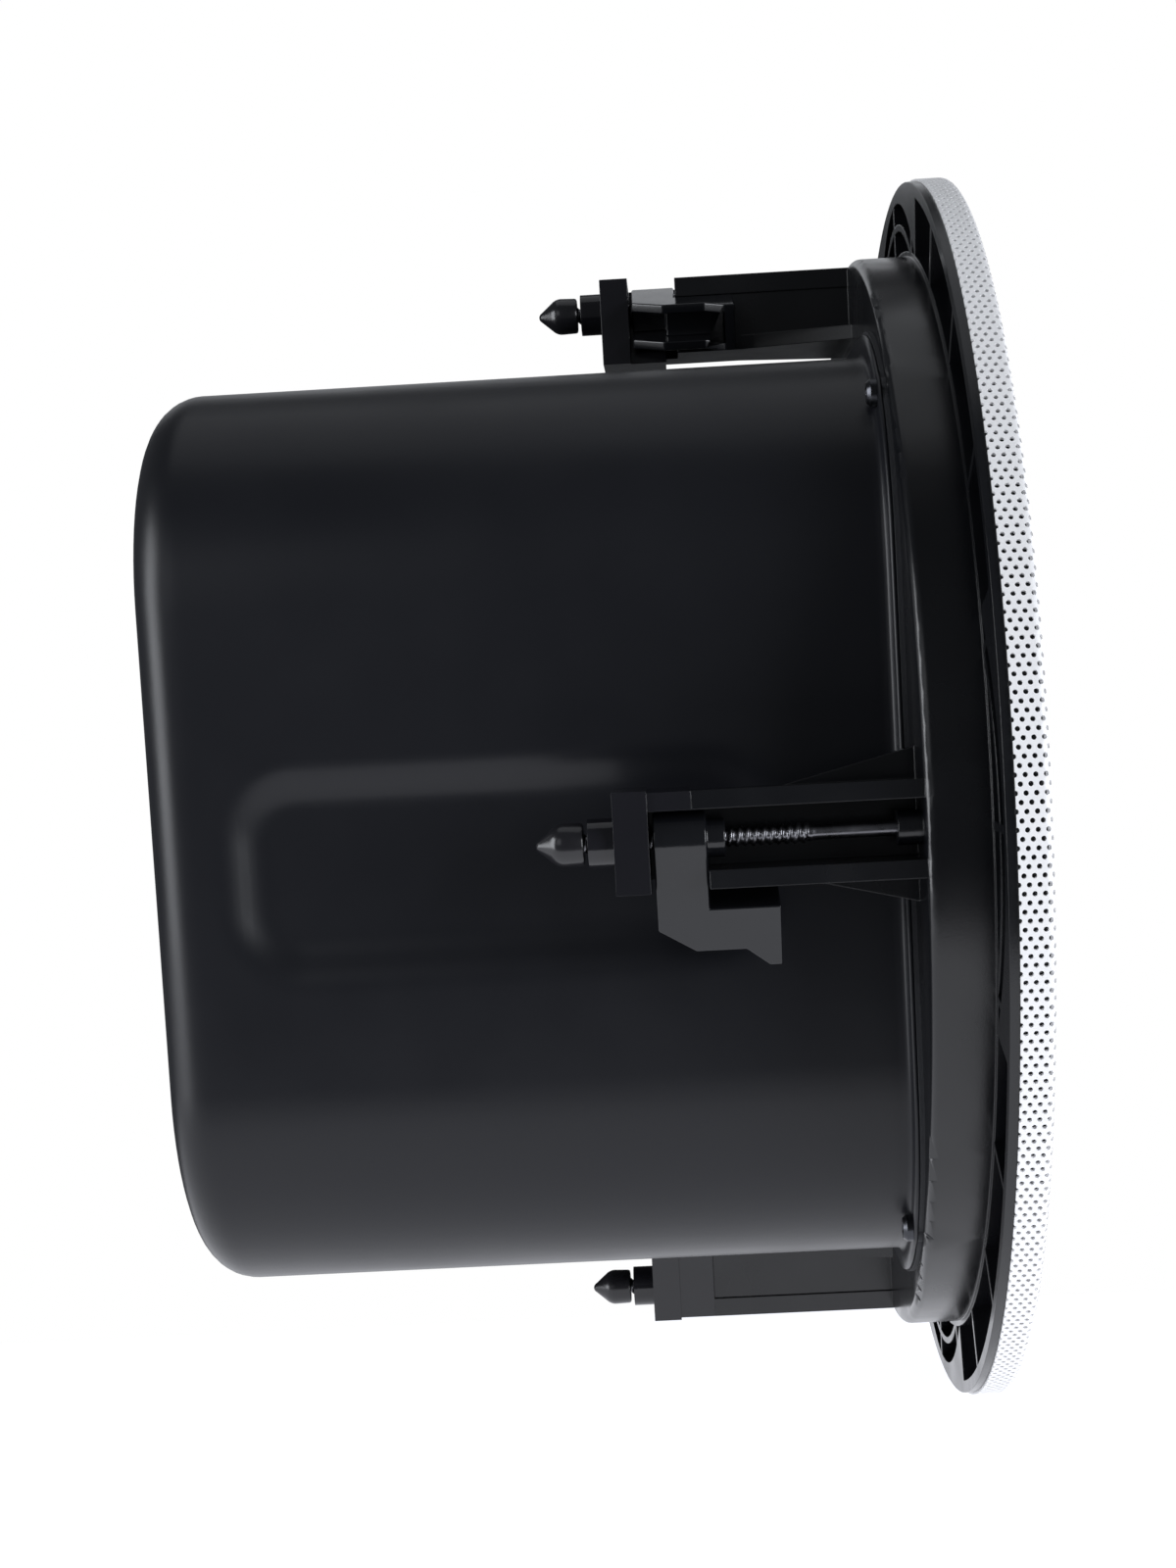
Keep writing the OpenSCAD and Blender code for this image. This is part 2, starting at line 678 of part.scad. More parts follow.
// Distance from the axis runs along x and the screw's direction along y
module dog_outline() {
    flat = foot_out - 3.8;
    polygon([
        [0, dog_z0], [foot_in, dog_z0], [foot_in, foot_z], [foot_out, foot_z], [foot_out, foot_z + 2.6],
        [flat, foot_z + 7.2], [flat, dog_z0 + 3], [flat - 4.9, dog_z1], [0, dog_z1]
    ]);
}

module dog_hollow() {
    polygon([
        [dog_r + dog_wall, dog_z0 + dog_wall], [foot_in + dog_wall, dog_z0 + dog_wall], [foot_in + dog_wall, foot_z + 2.8],
        [foot_out + 1, foot_z + 2.8], [foot_out + 1, dog_z1 + 1], [dog_r + dog_wall, dog_z1 + 1]
    ]);
}

// End bracket: a plate with a bearing boss for the screw, an arm that carries on the long rail and a tongue below
module clamp_bracket(i) {
    tongue = 2;
    color("#232326") laid() at_side(i) difference() {
        union() {
            translate([tower_in - tongue, -tower_half - 0.4, plate_z]) cube([tower_h + tongue + 0.5, 2 * tower_half + 0.8, bracket_t]);
            translate([tower_in, channel_half, rail_end]) cube([tower_h, rail_t, bracket_arm + 1]);
            translate([tower_in, 0, rail_end]) cube([tower_floor, channel_half + 1, bracket_arm + 1]);
            translate([tower_in - tongue, -tower_half + 1, rail_end]) cube([tongue + 0.6, 2 * tower_half - 1, bracket_arm + 1]);
            translate([clamp_r, 0, plate_z]) cylinder(h = bracket_t + bracket_boss_l, r = bracket_boss_r);
            translate([0, 0, rail_end - pin_l]) at_bracket_pins() cylinder(h = pin_l + 1, r = pin_r);
        }
        translate([clamp_r, 0, plate_z - 1]) cylinder(h = bracket_t + bracket_boss_l + 2, r = thread_d / 2 + run_fit);
    }
}

// Pressed basket: a flat rim, six windows in the cone, a shelf for the spider and a seat for the motor
module woofer_basket() {
    color("#303033") laid() difference() {
        rotate_extrude() difference() {
            polygon([
                [basket_r, basket_front], [basket_r, baffle_z], [woofer_cut_r - 1.2, baffle_z],
                [shelf_out_r + 2, shelf_at + basket_t], [shelf_r - 2, shelf_at + basket_t],
                [basket_neck_r, motor_at + basket_t], [gap_r + 1, motor_at + basket_t],
                [gap_r + 1, motor_at], [basket_neck_r - 2, motor_at], [shelf_r - 4.5, shelf_at],
                [shelf_out_r, shelf_at], [woofer_cut_r - 4, basket_front]
            ]);
        }
        for (i = [0 : 5]) rotate([0, 0, 60 * i + 15]) translate([0, 0, baffle_z + 4]) rotate([0, 0, -16]) rotate_extrude(angle = 32)
            translate([shelf_out_r + 0.5, 0]) square([30, shelf_z - 8]);
        at_woofer_screws() translate([0, 0, basket_front - 1]) cylinder(h = basket_t + 2, d = woofer_screw_d + 2 * run_fit);
    }
}

module woofer_gasket() {
    color("#242426") laid() difference() {
        translate([0, 0, gasket_front]) tube(basket_r, gasket_in_r, front_gasket_t);
        at_woofer_screws() translate([0, 0, gasket_front - 1]) cylinder(h = front_gasket_t + 2, d = woofer_screw_d + 2 * run_fit);
    }
}

// Half-roll surround: its outer land lies under the gasket and its inner land on the cone's edge
module surround() {
    centre = (cone_r + gasket_in_r) / 2;
    color("#1b1b1c") laid() difference() {
        rotate_extrude() {
            translate([centre + roll_r - rubber_t / 2, land_z]) square([basket_r - centre - roll_r + rubber_t / 2, rubber_t]);
            translate([cone_r - 4, land_z]) square([centre - roll_r + rubber_t / 2 - cone_r + 4, rubber_t]);
            translate([centre, land_z + rubber_t]) intersection() {
                difference() {
                    circle(roll_r + rubber_t / 2);
                    circle(roll_r - rubber_t / 2);
                }
                translate([-2 * roll_r, -2 * roll_r]) square([4 * roll_r, 2 * roll_r]);
            }
        }
        at_woofer_screws() translate([0, 0, land_z - 1]) cylinder(h = rubber_t + 2, d = woofer_screw_d + 2 * run_fit);
    }
}

module cone() {
    z_edge = land_z + rubber_t + 0.3;
    color("#1d1d1f") laid() rotate_extrude() polygon([
        [former_out, cone_neck_z], [cone_r - 4, z_edge], [cone_r, z_edge], [cone_r, z_edge + cone_t],
        [cone_r - 4 + cone_t, z_edge + cone_t], [former_out, cone_neck_z + cone_t * 1.6]
    ]);
}

// Corrugated centring disc between the former and the basket's shelf
module spider() {
    waves = 4;
    span = (shelf_r - 4 - former_out - 0.3) / waves;
    color("#b98b4a") laid() rotate_extrude() {
        translate([shelf_r - 4, shelf_at - rubber_t]) square([shelf_out_r - shelf_r + 2, rubber_t]);
        for (k = [0 : waves - 1]) translate([former_out + 0.3 + k * span, shelf_at - rubber_t]) polygon([
            [0, 0], [span / 2, -1.6], [span, 0], [span, rubber_t], [span / 2, rubber_t - 1.6], [0, rubber_t]
        ]);
    }
}

module voice_coil() {
    color("#b87333") laid() {
        translate([0, 0, cone_neck_z - 4]) tube(former_out, former_in, magnet_z + 6 - cone_neck_z + 4);
        translate([0, 0, top_plate_z - 2]) tube(coil_out, former_out, iron_t + 4);
    }
}

module top_plate() {
    color("silver") laid() translate([0, 0, top_plate_z]) tube(magnet_r - 6, gap_r, iron_t);
}

module magnet() {
    color("#3b3b3d") laid() translate([0, 0, magnet_z]) tube(magnet_r, gap_r + 6, magnet_h);
}

module back_plate() {
    color("silver") laid() difference() {
        union() {
            translate([0, 0, back_plate_z]) cylinder(h = iron_t, r = magnet_r - 4);
            translate([0, 0, top_plate_z]) cylinder(h = motor_end - top_plate_z - 1, r = pole_r);
        }
        translate([0, 0, top_plate_z + 8]) cylinder(h = motor_end, r = post_r + 1);
        translate([0, 0, top_plate_z - 1]) cylinder(h = 10, r = post_r * 0.6 + run_fit);
    }
}

module woofer_screws() {
    color("#3a3a3c") laid() at_woofer_screws() translate([0, 0, gasket_front])
        pan_screw(woofer_screw_head_d, screw_head_h, woofer_screw_d, front_gasket_t + rubber_t + basket_t + baffle_t + 3);
}

// Terminal strip riveted to the outside of the basket between two windows
module woofer_terminal() {
    color("#8a6a3a") laid() rotate([0, 0, -15]) translate([lead_x, 0, shelf_at + basket_t]) {
        translate([-4, -lead_apart - 4, 0]) cube([10, 2 * lead_apart + 8, tag_t]);
        for (side = [-1, 1]) translate([-0.4, side * lead_apart - 1.2, tag_t]) cube([0.8, 2.4, tag_h]);
    }
}

module tweeter_post() {
    color("#8f9194") laid() {
        translate([0, 0, post_z]) cylinder(h = top_plate_z - post_z, r = post_r);
        translate([0, 0, top_plate_z]) cylinder(h = 7.6, r = post_r * 0.6);
    }
}

module tweeter_cup() {
    color("#202022") laid() translate([0, 0, post_z - tweeter_h]) difference() {
        rotate_extrude() pan_profile(tweeter_r, tweeter_h, 3);
        translate([0, 0, -1]) cylinder(h = tweeter_h - 1, r = tweeter_r - 2);
    }
}

module tweeter_magnet() {
    color("silver") laid() translate([0, 0, post_z - tweeter_h + dome_set + 0.6])
        cylinder(h = tweeter_h - dome_set - 2.6, r = dome_r + 1);
}

module tweeter_dome() {
    rise = 5;
    ball = (pow(dome_r, 2) + pow(rise, 2)) / (2 * rise);
    color("#9a9da2") laid() translate([0, 0, post_z - tweeter_h + dome_set]) mirror([0, 0, 1]) rotate_extrude() {
        intersection() {
            translate([0, rise - ball]) difference() {
                circle(ball);
                circle(ball - 0.5);
            }
            square([dome_r, rise + 1]);
        }
        translate([dome_r - 0.6, -0.6]) square([tweeter_r - 2.1 - dome_r + 0.6, 0.6]);
    }
}

module tweeter_faceplate() {
    plate_t = 2;
    rim_z = plate_t + dome_set;
    color("#202022") laid() translate([0, 0, post_z - tweeter_h - plate_t]) rotate_extrude() polygon([
        [dome_r + 0.6, rim_z], [dome_r + 2, rim_z / 2], [tweeter_r - 4, 0.6], [tweeter_r + 1, 0], [tweeter_r + 1, plate_t],
        [tweeter_r - 2.1, plate_t], [tweeter_r - 2.1, rim_z]
    ]);
}

module at_board_corners() {
    for (x = [-1, 1], y = [-1, 1]) translate([x * (board_l / 2 - 6), y * (board_w / 2 - 6), 0]) children();
}

module crossover_board() {
    color("#2f6b3a") laid() difference() {
        translate([0, 0, board_z]) linear_extrude(board_t) rounded_square(board_l, board_w, 3);
        at_board_corners() translate([0, 0, board_z - 1]) cylinder(h = board_t + 2, r = 1.6);
    }
}

module board_standoffs() {
    color("silver") laid() at_board_corners() translate([0, 0, board_z + board_t]) tube(3, 1.6, standoff_h);
}

module board_screws() {
    color("#3a3a3c") laid() at_board_corners() translate([0, 0, board_z])
        pan_screw(small_head_d, small_head_h, can_screw_d, board_t + standoff_h - 1);
}

// Air-cored coil wound on a flanged bobbin
module inductor() {
    color("#b87333") laid() translate([-board_l / 4, 0, board_z - inductor_h]) {
        tube(inductor_r, inductor_r * 0.45, 1.4);
        translate([0, 0, 1.4]) tube(inductor_r - 1.5, inductor_r * 0.45, inductor_h - 2.8);
        translate([0, 0, inductor_h - 1.4]) tube(inductor_r, inductor_r * 0.45, 1.4);
    }
}

module capacitor_large() {
    color("#c9a227") laid() translate([board_l / 5, board_w / 5, board_z - cap_r]) rotate([0, 90, 0])
        cylinder(h = cap_l, r = cap_r, center = true);
}

module capacitor_small() {
    color("#c9a227") laid() translate([board_l / 5, -board_w / 14, board_z - cap_r * 0.7]) rotate([0, 90, 0])
        cylinder(h = small_l, r = cap_r * 0.7, center = true);
}

module resistor() {
    color("#e8e6df") laid() translate([board_l / 5, -board_w / 3, board_z - resistor_t / 2])
        cube([small_l, resistor_t, resistor_t], center = true);
}

// Pair of leads from the woofer's terminal strip, up through the slot in the wadding and in to the crossover board
module inner_leads() {
    bend_r = 3 * lead_d;
    foot = shelf_at + basket_t + tag_t + tag_h;
    high = board_z - lead_d / 2 - bend_r;
    color("#b03030") laid() rotate([0, 0, -15]) for (side = [-1, 1]) translate([lead_x, side * lead_apart, 0]) {
        translate([0, 0, foot]) cylinder(h = high - foot, d = lead_d, $fn = 24);
        translate([-bend_r, 0, high]) rotate([-90, 0, 0]) rotate_extrude(angle = -90) translate([bend_r, 0]) circle(d = lead_d, $fn = 24);
        translate([board_l / 2 - 4 - lead_x, 0, high + bend_r]) rotate([0, 90, 0])
            cylinder(h = lead_x - bend_r - board_l / 2 + 4, d = lead_d, $fn = 24);
    }
}

module grommet() {
    lip_t = 1.4;
    color("#151515") laid() translate([0, grommet_y, 0]) {
        translate([0, 0, recess_z]) tube(grommet_r + grommet_lip, lead_d, lip_t);
        translate([0, 0, recess_z - can_t]) tube(grommet_r - 0.05, lead_d, can_t);
        translate([0, 0, recess_z - can_t - lip_t]) tube(grommet_r + grommet_lip, lead_d, lip_t);
    }
}

// Block of fibre that fills the can behind the motor, with a slot where the leads pass
module wadding() {
    color("#d9d4c7") laid() translate([0, 0, wadding_z]) linear_extrude(wadding_t) difference() {
        rounded_square(2 * wadding_half, 2 * wadding_half, can_corner_r - 8);
        rotate(-15) translate([lead_x, 0]) rounded_square(3 * lead_d, lead_slot_l, 2.5);
    }
}

module terminal_box() {
    color("#202022") laid() translate([0, 0, recess_z]) difference() {
        linear_extrude(box_d) rounded_square(box_w, box_h, 4);
        translate([0, 0, -1]) linear_extrude(box_d - box_wall + 1) difference() {
            rounded_square(box_w - 2 * box_wall, box_h - 2 * box_wall, 2.4);
            for (x = [-1, 1]) translate([x * (box_w / 2 - ear_in), 0]) circle(3.4);
        }
        for (x = [-1, 1]) translate([x * (box_w / 2 - ear_in), 0, -1]) cylinder(h = box_d + 2, d = can_screw_d + 2 * run_fit);
        translate([box_w / 4, -box_h / 2, box_d / 2]) rotate([90, 0, 0]) cylinder(h = 2 * box_wall + 2, r = 3.6, center = true);
    }
}

module terminal_block() {
    color("#3f7f4a") laid() translate([0, -5, recess_z]) difference() {
        translate([-terminal_w / 2, -terminal_d / 2, 0]) cube([terminal_w, terminal_d, terminal_h]);
        for (k = [-1.5 : 1 : 1.5]) translate([k * terminal_w / 4.3, 0, 0]) {
            translate([0, -3, terminal_h / 2 - 0.5]) cylinder(h = terminal_h, r = 2);
            translate([0, -terminal_d / 2 - 1, 3]) rotate([-90, 0, 0]) cylinder(h = 5, r = 1.6);
        }
    }
}

module box_screws() {
    color("#3a3a3c") laid() for (x = [-1, 1]) translate([x * (box_w / 2 - ear_in), 0, recess_z + box_d]) mirror([0, 0, 1])
        pan_screw(small_head_d, small_head_h, can_screw_d, box_d + can_t + 2);
}

// Bent steel tab with a round eye for a safety wire
module safety_eye() {
    reach = recess_depth - 2;
    hole_z = reach - eye_tab_r;
    color("silver") laid() translate([box_w / 2 + 10, 0, recess_z]) {
        translate([-eye_tab_t / 2, -eye_tab_r, 0]) cube([14, 2 * eye_tab_r, 1.5]);
        translate([eye_tab_t / 2, 0, 0]) rotate([0, -90, 0]) linear_extrude(eye_tab_t) difference() {
            intersection() {
                union() {
                    translate([0, -eye_tab_r]) square([hole_z, 2 * eye_tab_r]);
                    translate([hole_z, 0]) circle(eye_tab_r);
                }
                translate([0, -eye_tab_r]) square([reach, 2 * eye_tab_r]);
            }
            translate([hole_z, 0]) circle(eye_d / 2);
        }
    }
}

grille();
grille_cloth();
bezel();
can_gasket();
back_can();
can_screws();
for (i = [0 : 3]) {
    clamp_screw(i);
    clamp_tip(i);
    clamp_dog(i);
    clamp_bracket(i);
}
woofer_basket();
woofer_gasket();
surround();
cone();
spider();
voice_coil();
top_plate();
magnet();
back_plate();
woofer_screws();
woofer_terminal();
tweeter_post();
tweeter_cup();
tweeter_magnet();
tweeter_dome();
tweeter_faceplate();
crossover_board();
board_standoffs();
board_screws();
inductor();
capacitor_large();
capacitor_small();
resistor();
inner_leads();
grommet();
wadding();
terminal_box();
terminal_block();
box_screws();
safety_eye();
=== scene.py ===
import math

import bmesh
import bpy
import numpy as np
from bpy.props import FloatProperty, FloatVectorProperty, PointerProperty
from mathutils import Matrix, Vector


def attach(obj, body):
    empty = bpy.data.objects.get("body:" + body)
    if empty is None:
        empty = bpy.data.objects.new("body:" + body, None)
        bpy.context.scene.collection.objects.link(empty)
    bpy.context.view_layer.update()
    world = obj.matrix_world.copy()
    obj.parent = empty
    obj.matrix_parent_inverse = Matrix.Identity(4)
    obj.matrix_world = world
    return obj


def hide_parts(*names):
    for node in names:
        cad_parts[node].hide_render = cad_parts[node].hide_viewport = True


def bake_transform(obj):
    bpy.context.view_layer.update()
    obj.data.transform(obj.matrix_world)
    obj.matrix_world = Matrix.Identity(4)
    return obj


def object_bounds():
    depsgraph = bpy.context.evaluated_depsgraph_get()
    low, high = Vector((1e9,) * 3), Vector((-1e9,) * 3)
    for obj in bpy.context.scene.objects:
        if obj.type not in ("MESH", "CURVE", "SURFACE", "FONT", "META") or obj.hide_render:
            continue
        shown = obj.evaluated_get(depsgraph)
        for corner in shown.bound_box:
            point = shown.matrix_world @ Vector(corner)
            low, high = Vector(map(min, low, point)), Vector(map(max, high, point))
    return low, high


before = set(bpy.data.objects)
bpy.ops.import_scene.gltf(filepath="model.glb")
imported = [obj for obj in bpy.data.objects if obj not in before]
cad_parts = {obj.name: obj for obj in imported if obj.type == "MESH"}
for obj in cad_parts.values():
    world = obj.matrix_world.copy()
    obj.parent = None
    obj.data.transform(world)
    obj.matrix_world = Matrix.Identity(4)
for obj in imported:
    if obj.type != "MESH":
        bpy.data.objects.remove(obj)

bl_info = {
    "name": "Flush-mount loudspeaker",
    "version": (1, 0, 0),
    "blender": (4, 5, 0),
    "location": "View3D > Sidebar > Loudspeaker",
    "description": "Dresses the packed loudspeaker: perforated grille, back can, threaded screws and moulded bezel",
    "category": "Object",
}

# Sizes are in millimetres, and MM turns them to metres where a mesh or a node takes them.
MM = 0.001
SIDES = ("left", "top", "right", "bottom")
CLAMP_R = 125.0
FLANGE_FRONT_Y = -2.0
GRILLE_FRONT_Y = -9.0
GRILLE_R = 150.0
GRILLE_SHEET = 0.8
CAN_SHEET = 0.9
MOULD_EDGE = 0.35
CAN_PAINT = "#15161a"
GRILLE_WHITE = "#f0f0f1"
# At scale 1 the bands of a wave texture lie this far apart
WAVE_WIDTH = 0.314
CAD_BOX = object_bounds()


# Colour and node helpers ----------------------------------------------------------------------------------------------


def linear(hex_code):
    """Linear RGB of an sRGB hex value: a share c up to 0.04045 is c / 12.92, others are ((c + 0.055) / 1.055) ** 2.4."""
    srgb = [int(hex_code[i : i + 2], 16) / 255 for i in (1, 3, 5)]
    return tuple(c / 12.92 if c <= 0.04045 else ((c + 0.055) / 1.055) ** 2.4 for c in srgb)


def scaled(colour, share):
    """A linear colour made lighter or darker by one share."""
    return tuple(c * share for c in colour)


def add_node(tree, kind, settings=None, inputs=None):
    """Adds a node, sets its own settings, and gives each named or numbered input a value or, from a socket, a link."""
    made = tree.nodes.new(kind)
    for key, value in (settings or {}).items():
        setattr(made, key, value)
    for key, value in (inputs or {}).items():
        if isinstance(value, bpy.types.NodeSocket):
            tree.links.new(value, made.inputs[key])
        else:
            made.inputs[key].default_value = value
    return made


def open_material(name, colour, rough, metallic=0.0, ior=None):
    """An empty node material with one shader, whose colour, roughness and metallic are set.

    Returns it with its tree, its shader and its Object coordinates.
    """
    material = bpy.data.materials.new(name)
    material.use_nodes = True
    tree = material.node_tree
    tree.nodes.clear()
    inputs = {"Base Color": (*colour, 1), "Roughness": rough, "Metallic": metallic}
    if ior is not None:
        inputs["IOR"] = ior
    shader = add_node(tree, "ShaderNodeBsdfPrincipled", inputs=inputs)
    add_node(tree, "ShaderNodeOutputMaterial", inputs={"Surface": shader.outputs["BSDF"]})
    where = add_node(tree, "ShaderNodeTexCoord").outputs["Object"]
    return material, tree, shader, where


def mottle(tree, where, size_mm, low=0.0, high=1.0):
    """A soft noise of blotches about size_mm across, mapped to the range low to high."""
    noise = add_node(tree, "ShaderNodeTexNoise", inputs={"Vector": where, "Scale": 1 / (size_mm * MM), "Detail": 3.0})
    limits = {"From Min": 0.3, "From Max": 0.7, "To Min": low, "To Max": high}
    return add_node(tree, "ShaderNodeMapRange", inputs={"Value": noise.outputs["Fac"], **limits}).outputs["Result"]


def give_skin(tree, shader, height, depth_mm, edge_mm=0.0, gloss=None, blend=None, dark=None, light=None):
    """Gives the shader its relief, gloss and colour.

    The relief is a bump of depth_mm from a 0 to 1 height, over edges rounded to edge_mm where that is asked for. The
    gloss is a worked-out roughness, and blend mixes the dark and the light colour.
    """
    bump = {"Height": height, "Distance": depth_mm * MM, "Strength": 1.0}
    if edge_mm:
        bump["Normal"] = add_node(tree, "ShaderNodeBevel", {"samples": 4}, {"Radius": edge_mm * MM}).outputs["Normal"]
    links = {"Normal": add_node(tree, "ShaderNodeBump", inputs=bump).outputs["Normal"]}
    if gloss is not None:
        links["Roughness"] = gloss
    if blend is not None:
        colours = {0: blend, 6: (*dark, 1), 7: (*light, 1)}
        links["Base Color"] = add_node(tree, "ShaderNodeMix", {"data_type": "RGBA"}, colours).outputs[2]
    for socket, value in links.items():
        tree.links.new(value, shader.inputs[socket])


# Finishes -------------------------------------------------------------------------------------------------------------


def semi_gloss_black_paint(name="semi_gloss_black_paint", colour=linear(CAN_PAINT)):
    """Stoved black paint on drawn steel: a smooth skin with faint orange peel 1.6 mm across and slightly uneven gloss."""
    material, tree, shader, where = open_material(name, colour, 0.34, ior=1.38)
    peel = add_node(tree, "ShaderNodeTexNoise", inputs={"Vector": where, "Scale": 1 / (1.6 * MM), "Detail": 2.0})
    gloss = mottle(tree, where, 30, 0.31, 0.37)
    give_skin(tree, shader, peel.outputs["Fac"], 0.012, 0.0, gloss, mottle(tree, where, 60), colour, scaled(colour, 1.12))
    return material


def moulded_plastic(name, hex_code, rough=0.5, edge_mm=MOULD_EDGE, grain_mm=0.5, depth_mm=0.012):
    """Injection-moulded plastic: a fine spark-eroded grain, gloss that varies a little and edges rounded by the mould."""
    colour = linear(hex_code)
    material, tree, shader, where = open_material(name, colour, rough, ior=1.53)
    grain = add_node(tree, "ShaderNodeTexNoise", inputs={"Vector": where, "Scale": 1 / (grain_mm * MM), "Detail": 2.0})
    gloss, blend = mottle(tree, where, 18, rough - 0.05, rough + 0.05), mottle(tree, where, 25)
    give_skin(tree, shader, grain.outputs["Fac"], depth_mm, edge_mm, gloss, blend, colour, scaled(colour, 1.18))
    return material


def powder_coat(name, hex_code, rough=0.42, pore_mm=0.45, edge_mm=0.0):
    """Powder-coated steel: an even colour with a pebbled skin of flowed grains."""
    material, tree, shader, where = open_material(name, linear(hex_code), rough, ior=1.5)
    grains = {"Vector": where, "Scale": 1 / (pore_mm * MM), "Smoothness": 1.0}
    pebble = add_node(tree, "ShaderNodeTexVoronoi", {"feature": "SMOOTH_F1"}, grains)
    gloss = mottle(tree, where, 12, rough - 0.04, rough + 0.06)
    give_skin(tree, shader, pebble.outputs["Distance"], 0.01, edge_mm, gloss)
    return material


def worked_metal(name, hex_code, rough, scratch_mm=0.25, edge_mm=0.2, stretch=(1.0, 0.06, 1.0)):
    """Bare or plated metal with fine tool marks, drawn out along one axis, that break up its shine."""
    colour = linear(hex_code)
    material, tree, shader, where = open_material(name, colour, rough, metallic=1.0)
    along = add_node(tree, "ShaderNodeMapping", inputs={"Vector": where, "Scale": stretch}).outputs["Vector"]
    marks = add_node(tree, "ShaderNodeTexNoise", inputs={"Vector": along, "Scale": 1 / (scratch_mm * MM), "Detail": 3.0})
    gloss, blend = mottle(tree, where, 4, rough - 0.06, rough + 0.1), mottle(tree, where, 6)
    give_skin(tree, shader, marks.outputs["Fac"], 0.008, edge_mm, gloss, blend, scaled(colour, 0.85), colour)
    return material


def woven_cloth(name, hex_code, thread_mm):
    """Plain weave: two sets of threads at thread_mm spacing, one along X and one along Z, of which the higher shows.
    The low hollows between the threads are painted darker as painted shade.
    """
    colour = linear(hex_code)
    material, tree, shader, where = open_material(name, colour, 0.9, ior=1.45)
    waves = {"Vector": where, "Scale": WAVE_WIDTH / (thread_mm * MM), "Distortion": 0.3}
    warp, weft = [add_node(tree, "ShaderNodeTexWave", {"bands_direction": axis}, waves) for axis in "XZ"]
    heights = {0: warp.outputs["Fac"], 1: weft.outputs["Fac"]}
    over = add_node(tree, "ShaderNodeMath", {"operation": "MAXIMUM"}, heights).outputs[0]
    # Painted shade: the colour falls to 0.4 of the thread's own where the weave's height is low, between the threads
    give_skin(tree, shader, over, 0.1, blend=over, dark=scaled(colour, 0.4), light=colour)
    return material


def soft_foam(name, hex_code, cell_mm=0.6):
    """Closed-cell foam or rubber: matt, with small dimples where cells meet the surface."""
    colour = linear(hex_code)
    material, tree, shader, where = open_material(name, colour, 0.8, ior=1.5)
    cells = add_node(tree, "ShaderNodeTexVoronoi", inputs={"Vector": where, "Scale": 1 / (cell_mm * MM)})
    blend = mottle(tree, where, 5)
    give_skin(tree, shader, cells.outputs["Distance"], 0.05, blend=blend, dark=colour, light=scaled(colour, 1.3))
    return material


def wound_copper(name, hex_code="#b8683a"):
    """Enamelled copper wire: turns 0.6 mm apart, each with a painted highlight along its crest and painted shade in the
    groove between turns.
    """
    colour = linear(hex_code)
    material, tree, shader, where = open_material(name, colour, 0.28, metallic=1.0)
    waves = {"Vector": where, "Scale": WAVE_WIDTH / (0.6 * MM)}
    turns = add_node(tree, "ShaderNodeTexWave", {"bands_direction": "Y"}, waves).outputs["Fac"]
    # Painted highlight and shade: the colour runs from 0.35 of the copper in the grooves up to full copper on the
    # crests
    give_skin(tree, shader, turns, 0.15, blend=turns, dark=scaled(colour, 0.35), light=colour)
    return material


def fibre_fill(name, hex_code="#d8d2c4"):
    """Polyester wadding: pale tangled fibres, soft and matt, with painted shade where the fibres lie low."""
    colour = linear(hex_code)
    material, tree, shader, where = open_material(name, colour, 0.95, ior=1.45)
    tangle = {"Vector": where, "Scale": 1 / (1.2 * MM), "Detail": 6.0, "Distortion": 2.0}
    strands = add_node(tree, "ShaderNodeTexNoise", inputs=tangle).outputs["Fac"]
    # Painted shade: the colour falls to 0.6 of the fibres' own where the tangle's height is low
    give_skin(tree, shader, strands, 0.8, blend=strands, dark=scaled(colour, 0.6), light=colour)
    return material


# Mesh helpers ---------------------------------------------------------------------------------------------------------


def grid_faces(rows, cols, wrap=False, flip=False):
    """Quads of a grid of points held row by row; wrap joins the last column to the first, flip turns the faces over."""
    i = np.arange(rows - 1)[:, None]
    j = np.arange(cols if wrap else cols - 1)[None, :]
    a, b = i * cols + j, i * cols + (j + 1) % cols
    quads = np.stack([a, b, b + cols, a + cols], -1).reshape(-1, 4)
    return quads[:, ::-1] if flip else quads


def mesh_of(name, points, face_sets, smooth_angle=None):
    """A mesh from points in millimetres and arrays of faces, tidied as tidy_mesh says."""
    mesh = bpy.data.meshes.new(name)
    points = np.asarray(points, float).reshape(-1, 3) * MM
    loops = np.concatenate([f.ravel() for f in face_sets])
    sizes = np.concatenate([np.full(len(f), f.shape[1]) for f in face_sets])
    mesh.vertices.add(len(points))
    mesh.vertices.foreach_set("co", points.astype(np.float32).ravel())
    mesh.loops.add(len(loops))
    mesh.loops.foreach_set("vertex_index", loops.astype(np.int32))
    mesh.polygons.add(len(sizes))
    mesh.polygons.foreach_set("loop_start", (np.cumsum(sizes) - sizes).astype(np.int32))
    mesh.update(calc_edges=True)
    tidy_mesh(mesh, smooth_angle)
    return mesh


def tidy_mesh(mesh, smooth_angle=None):
    """Merges doubled points, and shades a mesh smooth with sharp edges past the angle where one is given."""
    work = bmesh.new()
    work.from_mesh(mesh)
    bmesh.ops.remove_doubles(work, verts=work.verts, dist=1e-6)
    work.to_mesh(mesh)
    work.free()
    if smooth_angle is not None:
        mesh.shade_smooth()
        mesh.set_sharp_from_angle(angle=math.radians(smooth_angle))
    mesh.update()


def show(name, mesh, material):
    """Puts a mesh of one material in the scene."""
    piece = bpy.data.objects.new(name, mesh)
    bpy.context.scene.collection.objects.link(piece)
    mesh.materials.clear()
    mesh.materials.append(material)
    return piece


def add_piece(name, mesh, material, body, node, slot):
    """Puts a mesh in the scene as a piece that rides on a body and stands for a node, which it hides. The slot is not
    used.
    """
    piece = show(name, mesh, material)
    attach(piece, body)
    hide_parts(node)
    return piece


